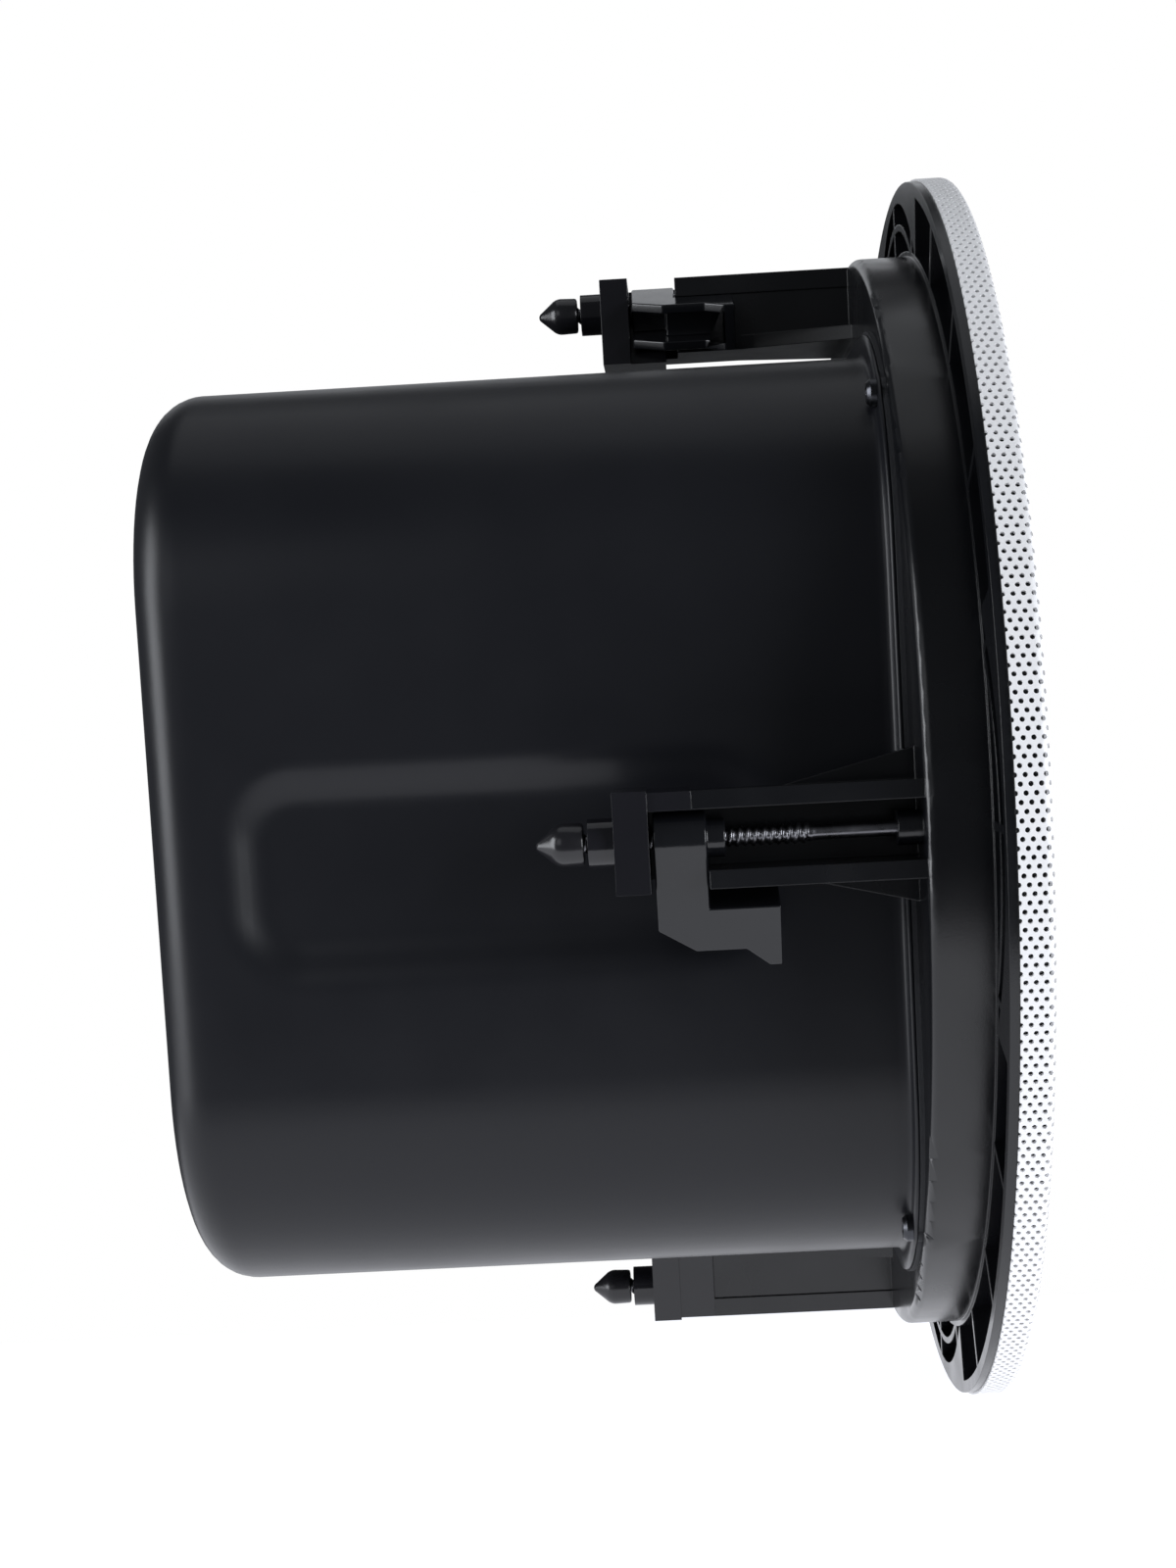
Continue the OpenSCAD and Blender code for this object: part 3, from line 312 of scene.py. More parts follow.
def turned(profile, steps, axis_at=(0.0, 0.0)):
    """Points and faces of (radius, y) pairs turned about the line through axis_at along Y: x = r cos a, z = r sin a."""
    profile = np.asarray(profile, float)
    angle = np.linspace(0, 2 * np.pi, steps, endpoint=False)
    x = axis_at[0] + profile[:, :1] * np.cos(angle)
    z = axis_at[1] + profile[:, :1] * np.sin(angle)
    y = np.broadcast_to(profile[:, 1:2], x.shape)
    return np.stack([x, y, z], -1), grid_faces(len(profile), steps, wrap=True, flip=True)


def clamp_axis(i):
    """Where clamp i's screw crosses the X-Z plane."""
    return [(-CLAMP_R, 0.0), (0.0, CLAMP_R), (CLAMP_R, 0.0), (0.0, -CLAMP_R)][i]


# Perforated grille ----------------------------------------------------------------------------------------------------


def hexagon(radius, first_deg, split=1):
    """Corners of a regular hexagon, with each side cut into split parts."""
    a = np.radians(first_deg + 60 * np.arange(6))
    corner = radius * np.stack([np.cos(a), np.sin(a)], -1)
    share = (np.arange(split) / split)[None, :, None]
    return (corner[:, None] * (1 - share) + np.roll(corner, -1, 0)[:, None] * share).reshape(-1, 2)


def round_hole(radius, corners, first_deg):
    """Corners of a regular polygon that stands for a round hole."""
    a = np.radians(first_deg + 360 / corners * np.arange(corners))
    return radius * np.stack([np.cos(a), np.sin(a)], -1)


def ring_cells(outer, inner, place):
    """Perforated cells, each a ring between an outer and an inner polygon of the same number of corners.

    Both are arrays of cells x corners x 2, and place(points, depth) lays them on the sheet. The front of the sheet and
    the wall of each hole are made.
    """
    cells, corners = outer.shape[:2]
    points = np.stack([place(outer, 0.0), place(inner, 0.0), place(inner, GRILLE_SHEET)], 1)
    start = (np.arange(cells) * 3 * corners)[:, None, None]
    j = np.arange(corners)
    k = (j + 1) % corners
    near_far = ((0, corners), (corners, 2 * corners))
    quads = [np.stack([j + near, k + near, k + far, j + far], -1) + start for near, far in near_far]
    return points.reshape(-1, 3), [q.reshape(-1, 4) for q in quads]


def slab(outline, place, wall=None):
    """Cells of a few corners with a front, a back and, if asked, the side wall between two of their corners."""
    n, c = outline.shape[:2]
    points = np.stack([place(outline, 0.0), place(outline, GRILLE_SHEET)], 1).reshape(-1, 3)
    start = (np.arange(n) * 2 * c)[:, None]
    faces = [start + np.arange(c), start + np.arange(2 * c - 1, c - 1, -1)]
    if wall:
        a, b = wall
        faces.append(start + np.array([a, b, b + c, a + c])[::-1])
    return points, faces


def edge_strip(a, b, place):
    """The cut edge of the sheet between two points of every cell."""
    pair = np.concatenate([a, b], 1)
    points = np.concatenate([place(pair, 0.0), place(pair, GRILLE_SHEET)], 1).reshape(-1, 3)
    start = (np.arange(len(pair)) * 4)[:, None]
    return points, [start + np.array([0, 1, 3, 2])]


def grille_face(look, material):
    """The flat face: hexagonal cells on a staggered lattice, whose row k lies at k * pitch * sqrt(3) / 2.

    Corners past the lattice's circle move in to it along their radius. Cells without room for a whole hole and a web
    beside it stay solid. The face is made in quarters.
    """
    pitch, hole_r = look.hole_pitch / MM, look.hole_diameter / MM / 2
    lattice_r, least_web = 148.3, 0.35
    rows = int((GRILLE_R - 1.0) / (pitch * math.sqrt(3) / 2)) + 1
    row, col = np.meshgrid(np.arange(-rows, rows + 1), np.arange(-rows, rows + 1), indexing="ij")
    centre = np.stack([(col + (row % 2) * 0.5) * pitch, row * pitch * math.sqrt(3) / 2], -1).reshape(-1, 2)
    reach = np.hypot(*centre.T)
    centre, reach = centre[reach < lattice_r + pitch / 2], reach[reach < lattice_r + pitch / 2]

    def pull_in(points):
        r = np.hypot(points[..., 0], points[..., 1])[..., None]
        return points * np.minimum(1, lattice_r / np.maximum(r, 1e-9))

    def flat(points, depth):
        return np.stack([points[..., 0], np.full(points.shape[:-1], GRILLE_FRONT_Y + depth), points[..., 1]], -1)

    cell = hexagon(pitch / math.sqrt(3), 30)
    pierced = reach + hole_r < lattice_r - least_web
    turn = np.mod(np.arctan2(centre[:, 1], centre[:, 0]), 2 * np.pi)
    quarter = np.floor(turn / (np.pi / 2)).astype(int) % 4
    for k in range(4):
        inside = centre[pierced & (quarter == k)][:, None]
        points, faces = ring_cells(pull_in(inside + cell), inside + round_hole(hole_r, 6, 30), flat)
        rim_cells = pull_in(centre[~pierced & (quarter == k)][:, None] + cell)
        rim_cells = rim_cells[np.hypot(rim_cells[..., 0], rim_cells[..., 1]).min(1) < lattice_r - 1e-6]
        solid = np.arange(len(rim_cells) * 6).reshape(-1, 6) + len(points)
        points = np.concatenate([points, flat(rim_cells, 0.0).reshape(-1, 3)])
        name = f"grille_face_{k + 1}"
        add_piece(name, mesh_of(name, points, [*faces, solid]), material, "frame", "grille", "grille_white")


def grille_rim(look, material):
    """The pan's wall and its turned edge: the same lattice bent along the pan's profile.

    A point s round and u forward lies at angle s / r, and u runs straight for the wall and then round a quarter
    circle. A row of half holes ends the sheet at the rear, and a solid lip joins it to the face.
    """
    pitch, hole_r = look.hole_pitch / MM, look.hole_diameter / MM / 2
    around = int(round(2 * math.pi * GRILLE_R / (pitch * math.sqrt(3))))
    period = 2 * math.pi * GRILLE_R / around
    bend_r, lip_r = 1.6, 148.298
    wall = FLANGE_FRONT_Y - GRILLE_FRONT_Y - bend_r
    reach = wall + bend_r * math.pi / 2
    columns = int(round(reach / (pitch / 2)))
    step = reach / columns

    def wrap(points, depth):
        angle, u = points[..., 0] / GRILLE_R, points[..., 1]
        turn = np.clip((u - wall) / bend_r, 0, np.pi / 2)
        r = GRILLE_R - bend_r + (bend_r - depth) * np.cos(turn)
        y = FLANGE_FRONT_Y - np.minimum(u, wall) - (bend_r - depth) * np.sin(turn)
        return np.stack([r * np.cos(angle), y, -r * np.sin(angle)], -1)

    def column(k):
        s = (np.arange(around) + (k % 2) / 2) * period
        return np.stack([s, np.full(around, k * step)], -1)[:, None]

    side = pitch / math.sqrt(3)
    full = np.concatenate([column(k) for k in range(1, columns)])
    cell = hexagon(side, 0, 2) * np.array([1.0, step / (pitch / 2)])
    parts = [ring_cells(full + cell, full + round_hole(hole_r, 12, 0), wrap)]

    # The rear row: six four-cornered cells round each half hole, and the cut edge of the sheet
    half = np.array([[side, 0], [side * 0.75, step / 2], [side / 2, step], [0, step]])
    half_out = np.concatenate([half, half[2::-1] * (-1, 1)])
    a = np.radians(30 * np.arange(7))
    half_in = hole_r * np.stack([np.cos(a), np.sin(a)], -1)
    cut = column(0)
    for j in range(6):
        quad = cut + np.concatenate([half_out[j : j + 2], half_in[j : j + 2][::-1]])
        parts.append(slab(quad, wrap, wall=(2, 3)))
    for out, inn in ((half_in[0], half_out[0]), (half_out[6], half_in[6])):
        parts.append(edge_strip(cut + out, cut + inn, wrap))
    near = column(1) - np.array([0, step])
    parts.append(edge_strip(near + np.array([side / 2, 0]), near + np.array([-side / 2, 0]), wrap))

    # The front row of solid cells, and the lip
    solid = np.array([[-side, 0], [-side / 2, -step], [side / 2, -step], [side, 0]])
    parts.append(slab(column(columns) + solid, wrap))
    front, back, bend_start = GRILLE_FRONT_Y, GRILLE_FRONT_Y + GRILLE_SHEET, GRILLE_R - bend_r
    points, quads = turned([(bend_start, front), (lip_r, front), (lip_r, back), (bend_start, back)], around * 4)
    parts.append((points.reshape(-1, 3), [quads]))

    points = np.concatenate([p for p, _ in parts])
    starts = np.cumsum([0] + [len(p) for p, _ in parts[:-1]])
    faces = [f + start for (_, sets), start in zip(parts, starts) for f in sets]
    mesh = mesh_of("grille_rim", points, faces, 35)
    add_piece("grille_rim", mesh, material, "frame", "grille", "grille_white")


# Back can -------------------------------------------------------------------------------------------------------------


def outline_guide(flat_steps, arc_steps):
    """Guide for a rounded rectangle walked once round.

    Per point it gives the corner of the inner rectangle that the point hangs on, as signs scaled by a share along each
    flat, and the outward normal.
    """
    share = np.linspace(-1, 1, flat_steps, endpoint=False)
    turn = np.radians(np.linspace(0, 90, arc_steps, endpoint=False))
    seat = np.concatenate([np.stack([np.ones(flat_steps), share], -1), np.ones((arc_steps, 2))])
    normal = np.concatenate([np.tile([1.0, 0.0], (flat_steps, 1)), np.stack([np.cos(turn), np.sin(turn)], -1)])
    quarter_turns = [np.array([[c, s], [-s, c]]) for c, s in ((1, 0), (0, 1), (-1, 0), (0, -1))]
    return np.concatenate([seat @ q for q in quarter_turns]), np.concatenate([normal @ q for q in quarter_turns])


def rounded_outline(seat, normal, half_x, half_z, corner):
    """Point = seat scaled to the inner rectangle + normal * corner."""
    return seat * np.array([half_x - corner, half_z - corner]) + normal * corner


def relief_depth(along, y):
    """Depth of the pressed relief: a smooth step of the distance inside a rounded rectangle.

    It is a little shallower and softer than the solid's, because the photograph's highlights are faint there.
    """
    depth, slope, middle_y = 3.2, 12.0, 99.0
    half_length, half_width, corner = 61.0, 25.0, 18.0
    qx = np.abs(y - middle_y) - (half_length - corner)
    qz = np.abs(along) - (half_width - corner)
    outside = np.hypot(np.maximum(qx, 0), np.maximum(qz, 0)) + np.minimum(np.maximum(qx, qz), 0) - corner
    t = np.clip((0.5 - outside) / (slope + 1.0), 0, 1)
    return depth * t * t * t * (t * (6 * t - 15) + 10)


def brim_outline(seat, normal, angle, half, corner):
    """The brim's edge: a wider rounded square, cut to the gasket's circle, with a round ear at each can screw."""
    brim_w, gasket_r, screw_out, ear = 5.6, 131.0, 3.2, 3.1
    square = rounded_outline(seat, normal, half + brim_w, half + brim_w, corner + brim_w)
    off = np.mod(angle, np.pi / 2) - np.pi / 4
    screw_r = np.sqrt(2) * (half - corner) + corner + screw_out
    sideways = screw_r * np.sin(off)
    ear_r = screw_r * np.cos(off) + np.sqrt(np.maximum(ear**2 - sideways**2, 0))
    r = np.maximum(np.minimum(np.hypot(*square.T), gasket_r), np.where(np.abs(sideways) < ear, ear_r, 0))
    return np.stack([r * np.cos(angle), r * np.sin(angle)], -1)


def back_can_mesh():
    """The drawn shell as one grid: across the brim, up the side with its reliefs, over the rear edge, into the recess.

    Each row is a rounded outline moved in along its normals by the row's offset.
    """
    half, corner, brim_y, rear_y, edge, brim_bend = 102.4, 50.0, 14.9, 175.0, 11.0, 1.4
    recess_x, recess_z, recess_corner, recess_y, lip, foot = 65.0, 42.0, 12.0, 159.0, 2.0, 2.5
    relief_shift, off_flat = 5.0, 1e3
    seat, normal = outline_guide(64, 18)
    wall = rounded_outline(seat, normal, half, half, corner)
    angle = np.arctan2(wall[:, 1], wall[:, 0])
    brim = brim_outline(seat, normal, angle, half, corner)
    tangent = np.stack([-normal[:, 1], normal[:, 0]], -1)
    on_flat = np.abs(normal).max(1) > 0.9999
    along = np.where(on_flat, (wall * tangent).sum(1), off_flat) - relief_shift

    rows = [(brim, brim_y), (wall + normal * brim_bend, brim_y)]
    for a in np.radians([30, 60]):
        rows.append((wall + normal * brim_bend * (1 - np.sin(a)), brim_y + brim_bend * (1 - np.cos(a))))
    for y in np.linspace(brim_y + brim_bend, rear_y - edge, 96):
        rows.append((wall - normal * relief_depth(along, y)[:, None], y))
    for a in np.radians(np.linspace(0, 90, 12)[1:]):
        rows.append((wall - normal * edge * (1 - np.cos(a)), rear_y - edge + edge * np.sin(a)))
    rear = wall - normal * edge
    recess = rounded_outline(seat, normal, recess_x, recess_z, recess_corner)
    for t in (0.25, 0.5, 0.75, 1.0):
        rows.append((rear * (1 - t) + (recess + normal * lip) * t, rear_y))
    for a in np.radians([30, 60, 90]):
        rows.append((recess + normal * lip * (1 - np.sin(a)), rear_y - lip * (1 - np.cos(a))))
    rows.append((recess, recess_y + foot))
    for a in np.radians([30, 60, 90]):
        rows.append((recess - normal * foot * (1 - np.cos(a)), recess_y + foot * (1 - np.sin(a))))
    for t in (0.66, 0.33, 0.0):
        rows.append(((recess - normal * foot) * t, recess_y))
    points = np.stack([np.stack([p[:, 0], np.full(len(p), y), p[:, 1]], -1) for p, y in rows])
    return mesh_of("back_can", points, [grid_faces(len(rows), points.shape[1], wrap=True, flip=True)], 45)


# Screws and tips ------------------------------------------------------------------------------------------------------


def cross_depth(x, z):
    """Depth of a screw's cross recess: full where x or z is within half the width and the other within the arm."""
    arm, half_width, depth, soft = 2.4, 0.5, 1.8, 0.25
    along_x = np.maximum(np.abs(x) - arm, np.abs(z) - half_width)
    along_z = np.maximum(np.abs(z) - arm, np.abs(x) - half_width)
    return depth * np.clip(0.5 - np.minimum(along_x, along_z) / soft, 0, 1)


def clamp_screw_mesh(i, pitch):
    """The long screw: its profile turned about its axis, with a ridge added where the thread runs.

    The ridge depends on the fraction of (y / pitch - angle / full turn): flat crest, sloping flanks, flat root. It
    grows from nothing over the first turn.
    """
    head_y, seat_y, neck_y, thread_y, end_y = 7.0, 10.0, 18.0, 34.6, 86.2
    core, crest, shank, head_r, head_round = 1.62, 2.1, 1.5, 4.0, 0.8
    half_foot, flank = 0.36, 0.26
    rows = [(r, head_y, 0.0) for r in np.linspace(0, head_r - head_round, 26)]
    rows += [(head_r - 0.4, head_y + 0.2, 0), (head_r, head_y + head_round, 0), (head_r, seat_y, 0)]
    rows += [(crest, seat_y, 0), (crest, neck_y, 0), (shank, neck_y, 0), (shank, thread_y - 0.8, 0)]
    rows += [(core, y, min(1.0, (y - thread_y) / pitch)) for y in np.arange(thread_y, end_y - 0.6, pitch / 10)]
    rows += [(core, end_y, 0.0), (0.0, end_y, 0.0)]
    r, y, cut = (np.array(c)[:, None] for c in zip(*rows))
    angle = np.linspace(0, 2 * np.pi, 40, endpoint=False)
    phase = np.mod(y / pitch - angle / (2 * np.pi), 1.0)
    ridge = np.clip((half_foot - np.abs(phase - 0.5)) / flank, 0, 1)
    radius = r + cut * (crest - core) * ridge
    x, z = radius * np.cos(angle), radius * np.sin(angle)
    y = y + np.where(y <= head_y, cross_depth(x, z), 0.0)
    ax, az = clamp_axis(i)
    points = np.stack([x + ax, y, z + az], -1)
    faces = grid_faces(len(points), points.shape[1], wrap=True, flip=True)
    return mesh_of(f"clamp_screw_{SIDES[i]}_thread", points, [faces], 40)


def clamp_tip_mesh(i):
    """The bullet tip: a turned profile with a short parallel side, a rounded shoulder and a cone that ends in a ball."""
    start, length, radius, nose = 80.4, 9.7, 4.4, 1.3
    shoulder_y, shoulder_length, drawn_in, nose_deg = start + 0.42 * length, 1.9, 0.14, 32
    nose_y = start + length - nose
    profile = [(0.0, start), (radius - 0.7, start), (radius - 0.3, start + 0.12), (radius - 0.12, start + 0.5)]
    profile += [(radius * (1 - drawn_in * s * s), shoulder_y + shoulder_length * s) for s in (0.0, 0.25, 0.5, 0.75)]
    wide = np.array([radius * (1 - drawn_in), shoulder_y + shoulder_length])
    narrow = np.array([nose * np.cos(np.radians(nose_deg)), nose_y + nose * np.sin(np.radians(nose_deg))])
    profile += [tuple(wide * (1 - s) + narrow * s) for s in np.linspace(0, 1, 6)]
    profile += [(nose * np.cos(b), nose_y + nose * np.sin(b)) for b in np.radians([45, 60, 75])]
    profile += [(0.0, start + length)]
    points, faces = turned(profile, 48, clamp_axis(i))
    return mesh_of(f"clamp_tip_{SIDES[i]}_bullet", points, [faces], 40)


# Mouldings and the cone's suspension ----------------------------------------------------------------------------------


def smooth_copy(node, name, bevel_mm=0.0):
    """A merged copy of a node's mesh, smooth across its curves and sharp at its edges.

    With a bevel, flat areas are first joined to whole faces, and each edge past the angle becomes a strip of two faces
    that curves over bevel_mm.
    """
    curve_deg, bevel_deg = 28, 48
    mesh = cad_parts[node].data.copy()
    mesh.name = name
    if "custom_normal" in mesh.attributes:
        mesh.attributes.remove(mesh.attributes["custom_normal"])
    if bevel_mm:
        work = bmesh.new()
        work.from_mesh(mesh)
        bmesh.ops.remove_doubles(work, verts=work.verts, dist=2e-6)
        bmesh.ops.dissolve_limit(work, angle_limit=math.radians(1.0), verts=work.verts, edges=work.edges)
        bent = [e for e in work.edges if len(e.link_faces) == 2 and e.calc_face_angle(0.0) > math.radians(curve_deg)]
        how = {"offset_type": "OFFSET", "segments": 2, "profile": 0.5, "affect": "EDGES", "clamp_overlap": True}
        bmesh.ops.bevel(work, geom=bent, offset=bevel_mm * MM, **how)
        work.to_mesh(mesh)
        work.free()
    tidy_mesh(mesh, bevel_deg if bevel_mm else curve_deg)
    return mesh


def moulded_rows():
    """The mouldings that get a smooth copy: node, bevel, finish, body and the record's slot."""
    # Glossy blacks: the sides that face down mirror the table, the others stay dark
    yield "bezel", 0.0, moulded_plastic("moulded_black_abs", "#0d0e11", rough=0.24), "frame", "bezel_abs"
    dog = moulded_plastic("moulded_black_nylon", "#121316", rough=0.16, edge_mm=0.0)
    bracket = moulded_plastic("satin_black_abs", "#17171b", rough=0.16, edge_mm=0.0)
    for side in SIDES:
        yield f"clamp_dog_{side}", MOULD_EDGE, dog, f"dog_{side}", "dog_nylon"
        yield f"clamp_bracket_{side}", MOULD_EDGE, bracket, "frame", "bracket_abs"


def ring_part(node, name, k, count):
    """One of count equal parts of a ring-shaped node, with its cut ends filled.

    Two planes through the ring's axis cut it, at half a part's angle to either side of the part's middle direction.
    """
    mesh = smooth_copy(node, name)
    work = bmesh.new()
    work.from_mesh(mesh)
    for side in (-1, 1):
        a = math.radians(360 * k / count + side * (90 + 180 / count))
        parts = [*work.verts, *work.edges, *work.faces]
        outward = (math.cos(a), 0, math.sin(a))
        bmesh.ops.bisect_plane(work, geom=parts, plane_co=(0, 0, 0), plane_no=outward, clear_outer=True)
        bmesh.ops.holes_fill(work, edges=[e for e in work.edges if e.is_boundary], sides=0)
    work.to_mesh(mesh)
    work.free()
    return mesh


def bending_ring(node, count, material):
    """A ring between the frame and the cone, cut into count equal parts that are shown in place of the node.
    """
    for k in range(count):
        name = f"{node}_part_{k + 1}"
        piece = show(name, ring_part(node, name, k, count), material)
        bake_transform(piece)
        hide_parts(node)


# Sizes and colours a user would change --------------------------------------------------------------------------------


class GrilleLook(bpy.types.PropertyGroup):
    """Sizes of the perforation."""

    hole_pitch: FloatProperty(
        name="Hole pitch", description="Distance between the centres of neighbouring holes",
        default=0.002, min=0.0015, max=0.004, unit="LENGTH",
    )
    hole_diameter: FloatProperty(
        name="Hole diameter", description="Diameter of each round hole",
        default=0.00104, min=0.0005, max=0.0025, unit="LENGTH",
    )


class ScrewLook(bpy.types.PropertyGroup):
    """Size of the clamp screws' thread."""

    thread_pitch: FloatProperty(
        name="Thread pitch", description="Distance between neighbouring crests of the clamp screw's thread",
        default=0.00165, min=0.001, max=0.003, unit="LENGTH",
    )


class CanLook(bpy.types.PropertyGroup):
    """Colour of the back can's paint."""

    paint_colour: FloatVectorProperty(
        name="Paint colour", description="Colour of the stoved paint on the back can",
        default=linear(CAN_PAINT), size=3, min=0, max=1, subtype="COLOR",
    )


class MakeGrille(bpy.types.Operator):
    """Makes the perforated face and the pan's perforated rim"""

    bl_idname = "loudspeaker.make_grille"
    bl_label = "Make Perforated Grille"

    def execute(self, context):
        look = context.scene.grille_look
        material = powder_coat("white_powder_coat", GRILLE_WHITE, rough=0.4, pore_mm=0.35)
        grille_face(look, material)
        grille_rim(look, material)
        return {"FINISHED"}


class MakeBackCan(bpy.types.Operator):
    """Makes the drawn steel back can with its pressed reliefs and rear recess"""

    bl_idname = "loudspeaker.make_back_can"
    bl_label = "Make Back Can"

    def execute(self, context):
        material = semi_gloss_black_paint(colour=tuple(context.scene.can_look.paint_colour))
        can = add_piece("back_can_shell", back_can_mesh(), material, "frame", "back_can", "can_black")
        wall = can.modifiers.new("sheet", "SOLIDIFY")
        wall.thickness, wall.offset = CAN_SHEET * MM, -1.0
        return {"FINISHED"}


class MakeClampScrews(bpy.types.Operator):
    """Makes the four threaded clamp screws and their bullet tips"""

    bl_idname = "loudspeaker.make_clamp_screws"
    bl_label = "Make Clamp Screws"

    def execute(self, context):
        # Rolled steel keeps bright crests over dark roots, and the nylon tips have the smoothest black of all
        steel = worked_metal("blackened_rolled_steel", "#7c7c80", 0.27, edge_mm=0.0)
        tip = moulded_plastic("glossy_black_nylon", "#1a1a1d", rough=0.24, edge_mm=0.0, grain_mm=2.0, depth_mm=0.004)
        pitch = context.scene.screw_look.thread_pitch / MM
        for i, side in enumerate(SIDES):
            screw, end = f"clamp_screw_{side}", f"clamp_tip_{side}"
            add_piece(f"{screw}_thread", clamp_screw_mesh(i, pitch), steel, f"screw_{side}", screw, "clamp_screw_steel")
            add_piece(f"{end}_bullet", clamp_tip_mesh(i), tip, f"screw_{side}", end, "tip_plastic")
        return {"FINISHED"}


class MakeMouldings(bpy.types.Operator):
    """Makes smooth copies of the bezel, the clamp dogs and their brackets, with the edges that a mould leaves"""

    bl_idname = "loudspeaker.make_mouldings"
    bl_label = "Make Mouldings"

    def execute(self, context):
        for node, bevel, material, body, slot in moulded_rows():
            name = f"{node}_moulding"
            piece = add_piece(name, smooth_copy(node, name, bevel), material, body, node, slot)
            if bevel:
                even = piece.modifiers.new("flat_faces_lead", "WEIGHTED_NORMAL")
                even.keep_sharp = True
        return {"FINISHED"}


class MakeSuspension(bpy.types.Operator):
    """Makes the corrugated spider and the rubber surround, each cut into equal parts"""

    bl_idname = "loudspeaker.make_suspension"
    bl_label = "Make Cone Suspension"

    def execute(self, context):
        bending_ring("spider", 4, woven_cloth("resin_dipped_cotton", "#a9803f", 0.6))
        bending_ring("surround", 12, soft_foam("butyl_rubber", "#17181a", 1.2))
        return {"FINISHED"}


class FinishNodes(bpy.types.Operator):
    """Gives every piece that comes straight from the frame its finish"""

    bl_idname = "loudspeaker.finish_nodes"
    bl_label = "Finish Frame Pieces"

    def execute(self, context):
        finishes = node_finishes()
        for node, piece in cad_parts.items():
            material = finishes[node]
            if piece.material_slots:
                for slot in piece.material_slots:
                    slot.material = material
            else:
                piece.data.materials.append(material)
        return {"FINISHED"}


def node_finishes():
    """The finish of each node of the frame by name. A node that a drawn piece stands for gets its own plain one."""
    # Black mouldings: even and glossy, with a lighter line where an edge turns
    abs_black = moulded_plastic("moulded_black_abs_inner", "#0d0e11", rough=0.24)
    nylon = moulded_plastic("moulded_black_nylon_cad", "#1a1b1e", rough=0.2)
    bracket = moulded_plastic("satin_black_abs_cad", "#1b1b1f", rough=0.28)
    # Metals: bright plate and turned faces with fine rings, and dull black screws
    screw = worked_metal("black_zinc_screw", "#4a4b4f", 0.3)
    zinc = worked_metal("bright_zinc_plate", "#b9bcc0", 0.3)
    aluminium = worked_metal("turned_aluminium", "#c9cbce", 0.28)
    powder = powder_coat("black_powder_coat", "#202124", edge_mm=0.4)
    # Soft and wrapped goods: matt foam and rubber, and shiny film
    foam = soft_foam("closed_cell_foam", "#242528")
    rubber = soft_foam("butyl_rubber_cad", "#17181a", 1.2)
    film = moulded_plastic("wrapped_film_capacitor", "#b08a2a", rough=0.3, grain_mm=3.0)
    finishes = {
        "grille": powder_coat("white_powder_coat_cad", GRILLE_WHITE),
        "grille_cloth": woven_cloth("black_scrim_weave", "#141416", 0.5),
        "back_can": semi_gloss_black_paint("semi_gloss_black_paint_cad"),
        "terminal_box": moulded_plastic("moulded_black_abs_cover", "#1b1c1f", rough=0.45),
        "cone": moulded_plastic("filled_polypropylene", "#1d1e20", rough=0.55, edge_mm=0.2),
        "spider": woven_cloth("resin_dipped_cotton_cad", "#a9803f", 0.6),
        "voice_coil": wound_copper("voice_coil_wire"),
        "inductor": wound_copper("inductor_wire", "#b5653a"),
        "magnet": powder_coat("ground_ferrite", "#3c3c3f", rough=0.55, pore_mm=0.3, edge_mm=0.4),
        "woofer_terminal": moulded_plastic("laminated_paper_board", "#6b4a26", rough=0.6),
        "crossover_board": moulded_plastic("solder_masked_board", "#1e4d2b", rough=0.35),
        "resistor": moulded_plastic("cement_ceramic", "#d7d3c8", rough=0.8, grain_mm=0.8, depth_mm=0.03),
        "inner_leads": moulded_plastic("pvc_insulation", "#7a1414", rough=0.35, edge_mm=0.0),
        "wadding": fibre_fill("polyester_fibre"),
        "terminal_block": moulded_plastic("green_terminal_nylon", "#2a5c33", rough=0.45, edge_mm=0.2),
    }
    shared = (
        (abs_black, ("bezel", "tweeter_faceplate")),
        (nylon, [f"clamp_{part}_{side}" for part in ("dog", "tip") for side in SIDES]),
        (bracket, [f"clamp_bracket_{side}" for side in SIDES]),
        (screw, ("can_screws", "woofer_screws", "board_screws", "box_screws")),
        (screw, [f"clamp_screw_{side}" for side in SIDES]),
        (zinc, ("top_plate", "back_plate", "tweeter_magnet", "safety_eye")),
        (aluminium, ("tweeter_post", "tweeter_dome", "board_standoffs")),
        (powder, ("woofer_basket", "tweeter_cup")),
        (foam, ("can_gasket", "woofer_gasket")),
        (rubber, ("surround", "grommet")),
        (film, ("capacitor_large", "capacitor_small")),
    )
    for material, nodes in shared:
        finishes.update(dict.fromkeys(nodes, material))
    return finishes


# Stage ----------------------------------------------------------------------------------------------------------------


class MakeStudio(bpy.types.Operator):
    """Makes the pale floor, the soft lights and the photograph's camera"""

    bl_idname = "loudspeaker.make_studio"
    bl_label = "Make Studio"

    def execute(self, context):
        make_floor()
        make_lights(context.scene)
        make_camera(context.scene)
        return {"FINISHED"}


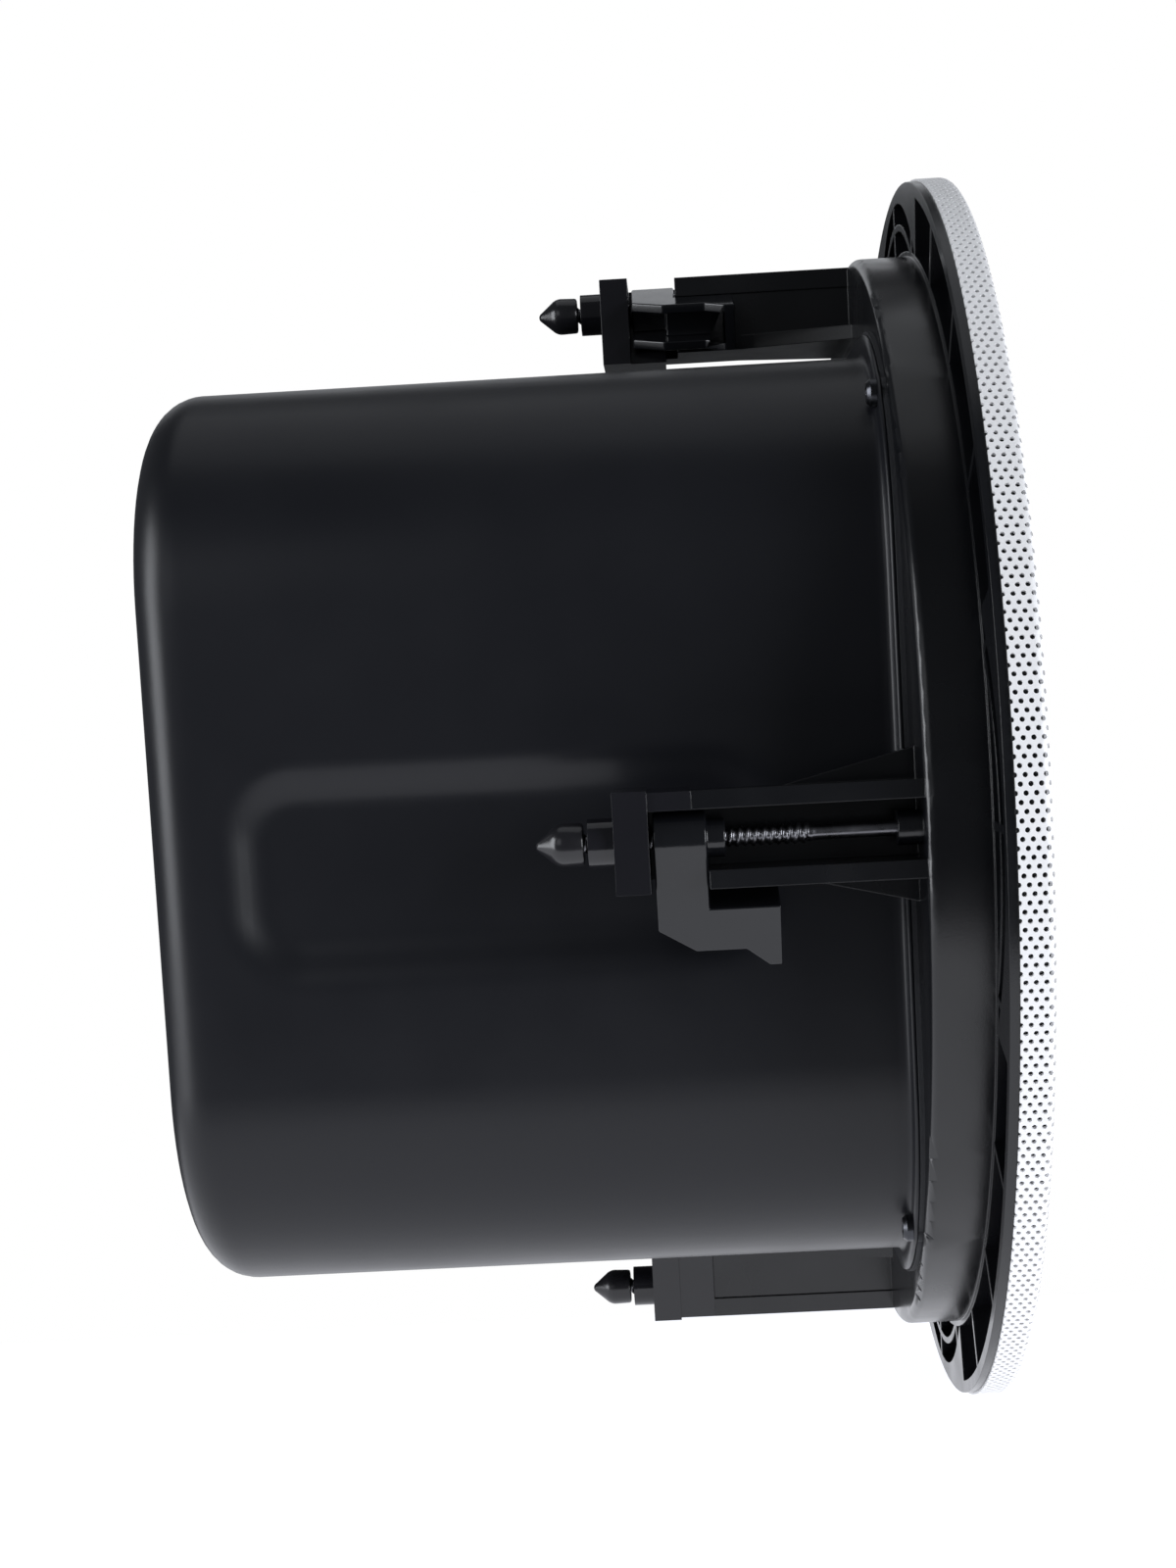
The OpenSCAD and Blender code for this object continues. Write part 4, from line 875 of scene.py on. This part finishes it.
def make_floor():
    """A light table of opal acrylic just under the object: pale, plain, and as deep as the photograph mirrors it."""
    gap, depth, width = 0.3, (-420.0, -180.0, 60.0), (-1500.0, 0.0, 1500.0)
    x, y = np.meshgrid(np.array(depth), np.array(width))
    level = np.full_like(x, CAD_BOX[0].z / MM - gap)
    mesh = mesh_of("studio_floor", np.stack([x, y, level], -1), [grid_faces(3, 3)])
    # Opal acrylic lit from below: an even white glow, a shade cool
    material, _, shader, _ = open_material("opal_acrylic_light_table", linear("#8c8c8c"), 0.9)
    shader.inputs["Emission Color"].default_value = (0.97, 0.985, 1.05, 1)
    shader.inputs["Emission Strength"].default_value = 1.0
    show("studio_floor", mesh, material)


def softbox(name, place, width, height, brightness):
    """A rectangular light at place that faces the object; its power is brightness * pi * area."""
    data = bpy.data.lights.new(name, "AREA")
    data.shape, data.size, data.size_y = "RECTANGLE", width, height
    data.energy = brightness * math.pi * width * height
    data.color = (0.93, 0.955, 1.0)
    lamp = bpy.data.objects.new(name, data)
    bpy.context.scene.collection.objects.link(lamp)
    lamp.location = place
    middle = Vector((0.0, 0.08, 0.0))
    lamp.rotation_euler = (Vector(place) - middle).to_track_quat("Z", "Y").to_euler()


def make_lights(scene):
    """A dark room behind a white background, with six softboxes, in metres.

    The left and the right one draw the edges of the black can and light the white rim. The overhead, rear and fill ones
    are the soft gradients on the can's top and side. The far one lights the side that the photograph doesn't show.
    """
    world = bpy.data.worlds.new("studio_surround")
    world.use_nodes = True
    tree = world.node_tree
    tree.nodes.clear()
    seen = add_node(tree, "ShaderNodeBackground", inputs={"Color": (1, 1, 1, 1), "Strength": 1.0})
    lit = add_node(tree, "ShaderNodeBackground", inputs={"Color": (0.9, 0.94, 1, 1), "Strength": 0.08})
    ray = add_node(tree, "ShaderNodeLightPath").outputs["Is Camera Ray"]
    mix = add_node(tree, "ShaderNodeMixShader", inputs={0: ray, 1: lit.outputs[0], 2: seen.outputs[0]})
    add_node(tree, "ShaderNodeOutputWorld", inputs={"Surface": mix.outputs[0]})
    scene.world = world
    softbox("left_softbox", (-0.45, 1.35, 0.2), 0.6, 1.1, 6.4)
    softbox("right_softbox", (-0.95, -1.15, 0.2), 0.8, 1.0, 8.0)
    softbox("overhead_softbox", (0.15, 0.05, 1.25), 1.2, 1.1, 0.42)
    softbox("rear_softbox", (1.45, 0.1, 0.75), 1.6, 0.55, 0.6)
    softbox("far_softbox", (1.25, -1.2, 0.25), 0.8, 0.8, 4.0)
    softbox("fill_softbox", (-1.25, 0.78, 0.5), 0.7, 0.7, 0.8)


def make_camera(scene):
    """The photograph's camera, as found by fitting the outlines: its place in metres and its right, up and back axes."""
    place = (-0.5573, 0.0603, 0.0292)
    right, up, back = (0.02282, -0.99828, -0.05397), (0.08706, -0.05179, 0.99486), (-0.99594, -0.0274, 0.08573)
    focal, long_side, middle = 2214, 1600, (640, 900)  # in the photograph's pixels
    data = bpy.data.cameras.new("photograph_camera")
    data.sensor_width, data.lens = 36.0, focal / long_side * 36
    data.shift_x, data.shift_y = (600 - middle[0]) / long_side, (middle[1] - 800) / long_side
    data.clip_start, data.clip_end = 0.01, 40
    camera = bpy.data.objects.new("photograph_camera", data)
    scene.collection.objects.link(camera)
    camera.matrix_world = Matrix.Translation(place) @ Matrix((right, up, back)).transposed().to_4x4()
    scene.camera = camera
    scene.view_settings.view_transform = "Standard"


# Panel and run --------------------------------------------------------------------------------------------------------


class LoudspeakerPanel(bpy.types.Panel):
    """Lists the loudspeaker's sizes and pieces"""

    bl_idname = "VIEW3D_PT_loudspeaker"
    bl_label = "Loudspeaker"
    bl_space_type = "VIEW_3D"
    bl_region_type = "UI"
    bl_category = "Loudspeaker"

    def draw(self, context):
        scene = context.scene
        self.layout.prop(scene.grille_look, "hole_pitch")
        self.layout.prop(scene.grille_look, "hole_diameter")
        self.layout.prop(scene.screw_look, "thread_pitch")
        self.layout.prop(scene.can_look, "paint_colour")
        for operator in OPERATORS:
            self.layout.operator(operator.bl_idname)


GROUPS = (GrilleLook, ScrewLook, CanLook)
OPERATORS = (MakeStudio, MakeGrille, MakeBackCan, MakeClampScrews, MakeMouldings, MakeSuspension, FinishNodes)


def register():
    for group in (*GROUPS, *OPERATORS, LoudspeakerPanel):
        bpy.utils.register_class(group)
    bpy.types.Scene.grille_look = PointerProperty(type=GrilleLook)
    bpy.types.Scene.screw_look = PointerProperty(type=ScrewLook)
    bpy.types.Scene.can_look = PointerProperty(type=CanLook)


def unregister():
    del bpy.types.Scene.grille_look, bpy.types.Scene.screw_look, bpy.types.Scene.can_look
    for group in reversed((*GROUPS, *OPERATORS, LoudspeakerPanel)):
        bpy.utils.unregister_class(group)


def main():
    register()
    bpy.ops.loudspeaker.make_studio()
    bpy.ops.loudspeaker.make_grille()
    bpy.ops.loudspeaker.make_back_can()
    bpy.ops.loudspeaker.make_clamp_screws()
    bpy.ops.loudspeaker.make_mouldings()
    bpy.ops.loudspeaker.make_suspension()
    bpy.ops.loudspeaker.finish_nodes()


if __name__ == "__main__":
    main()
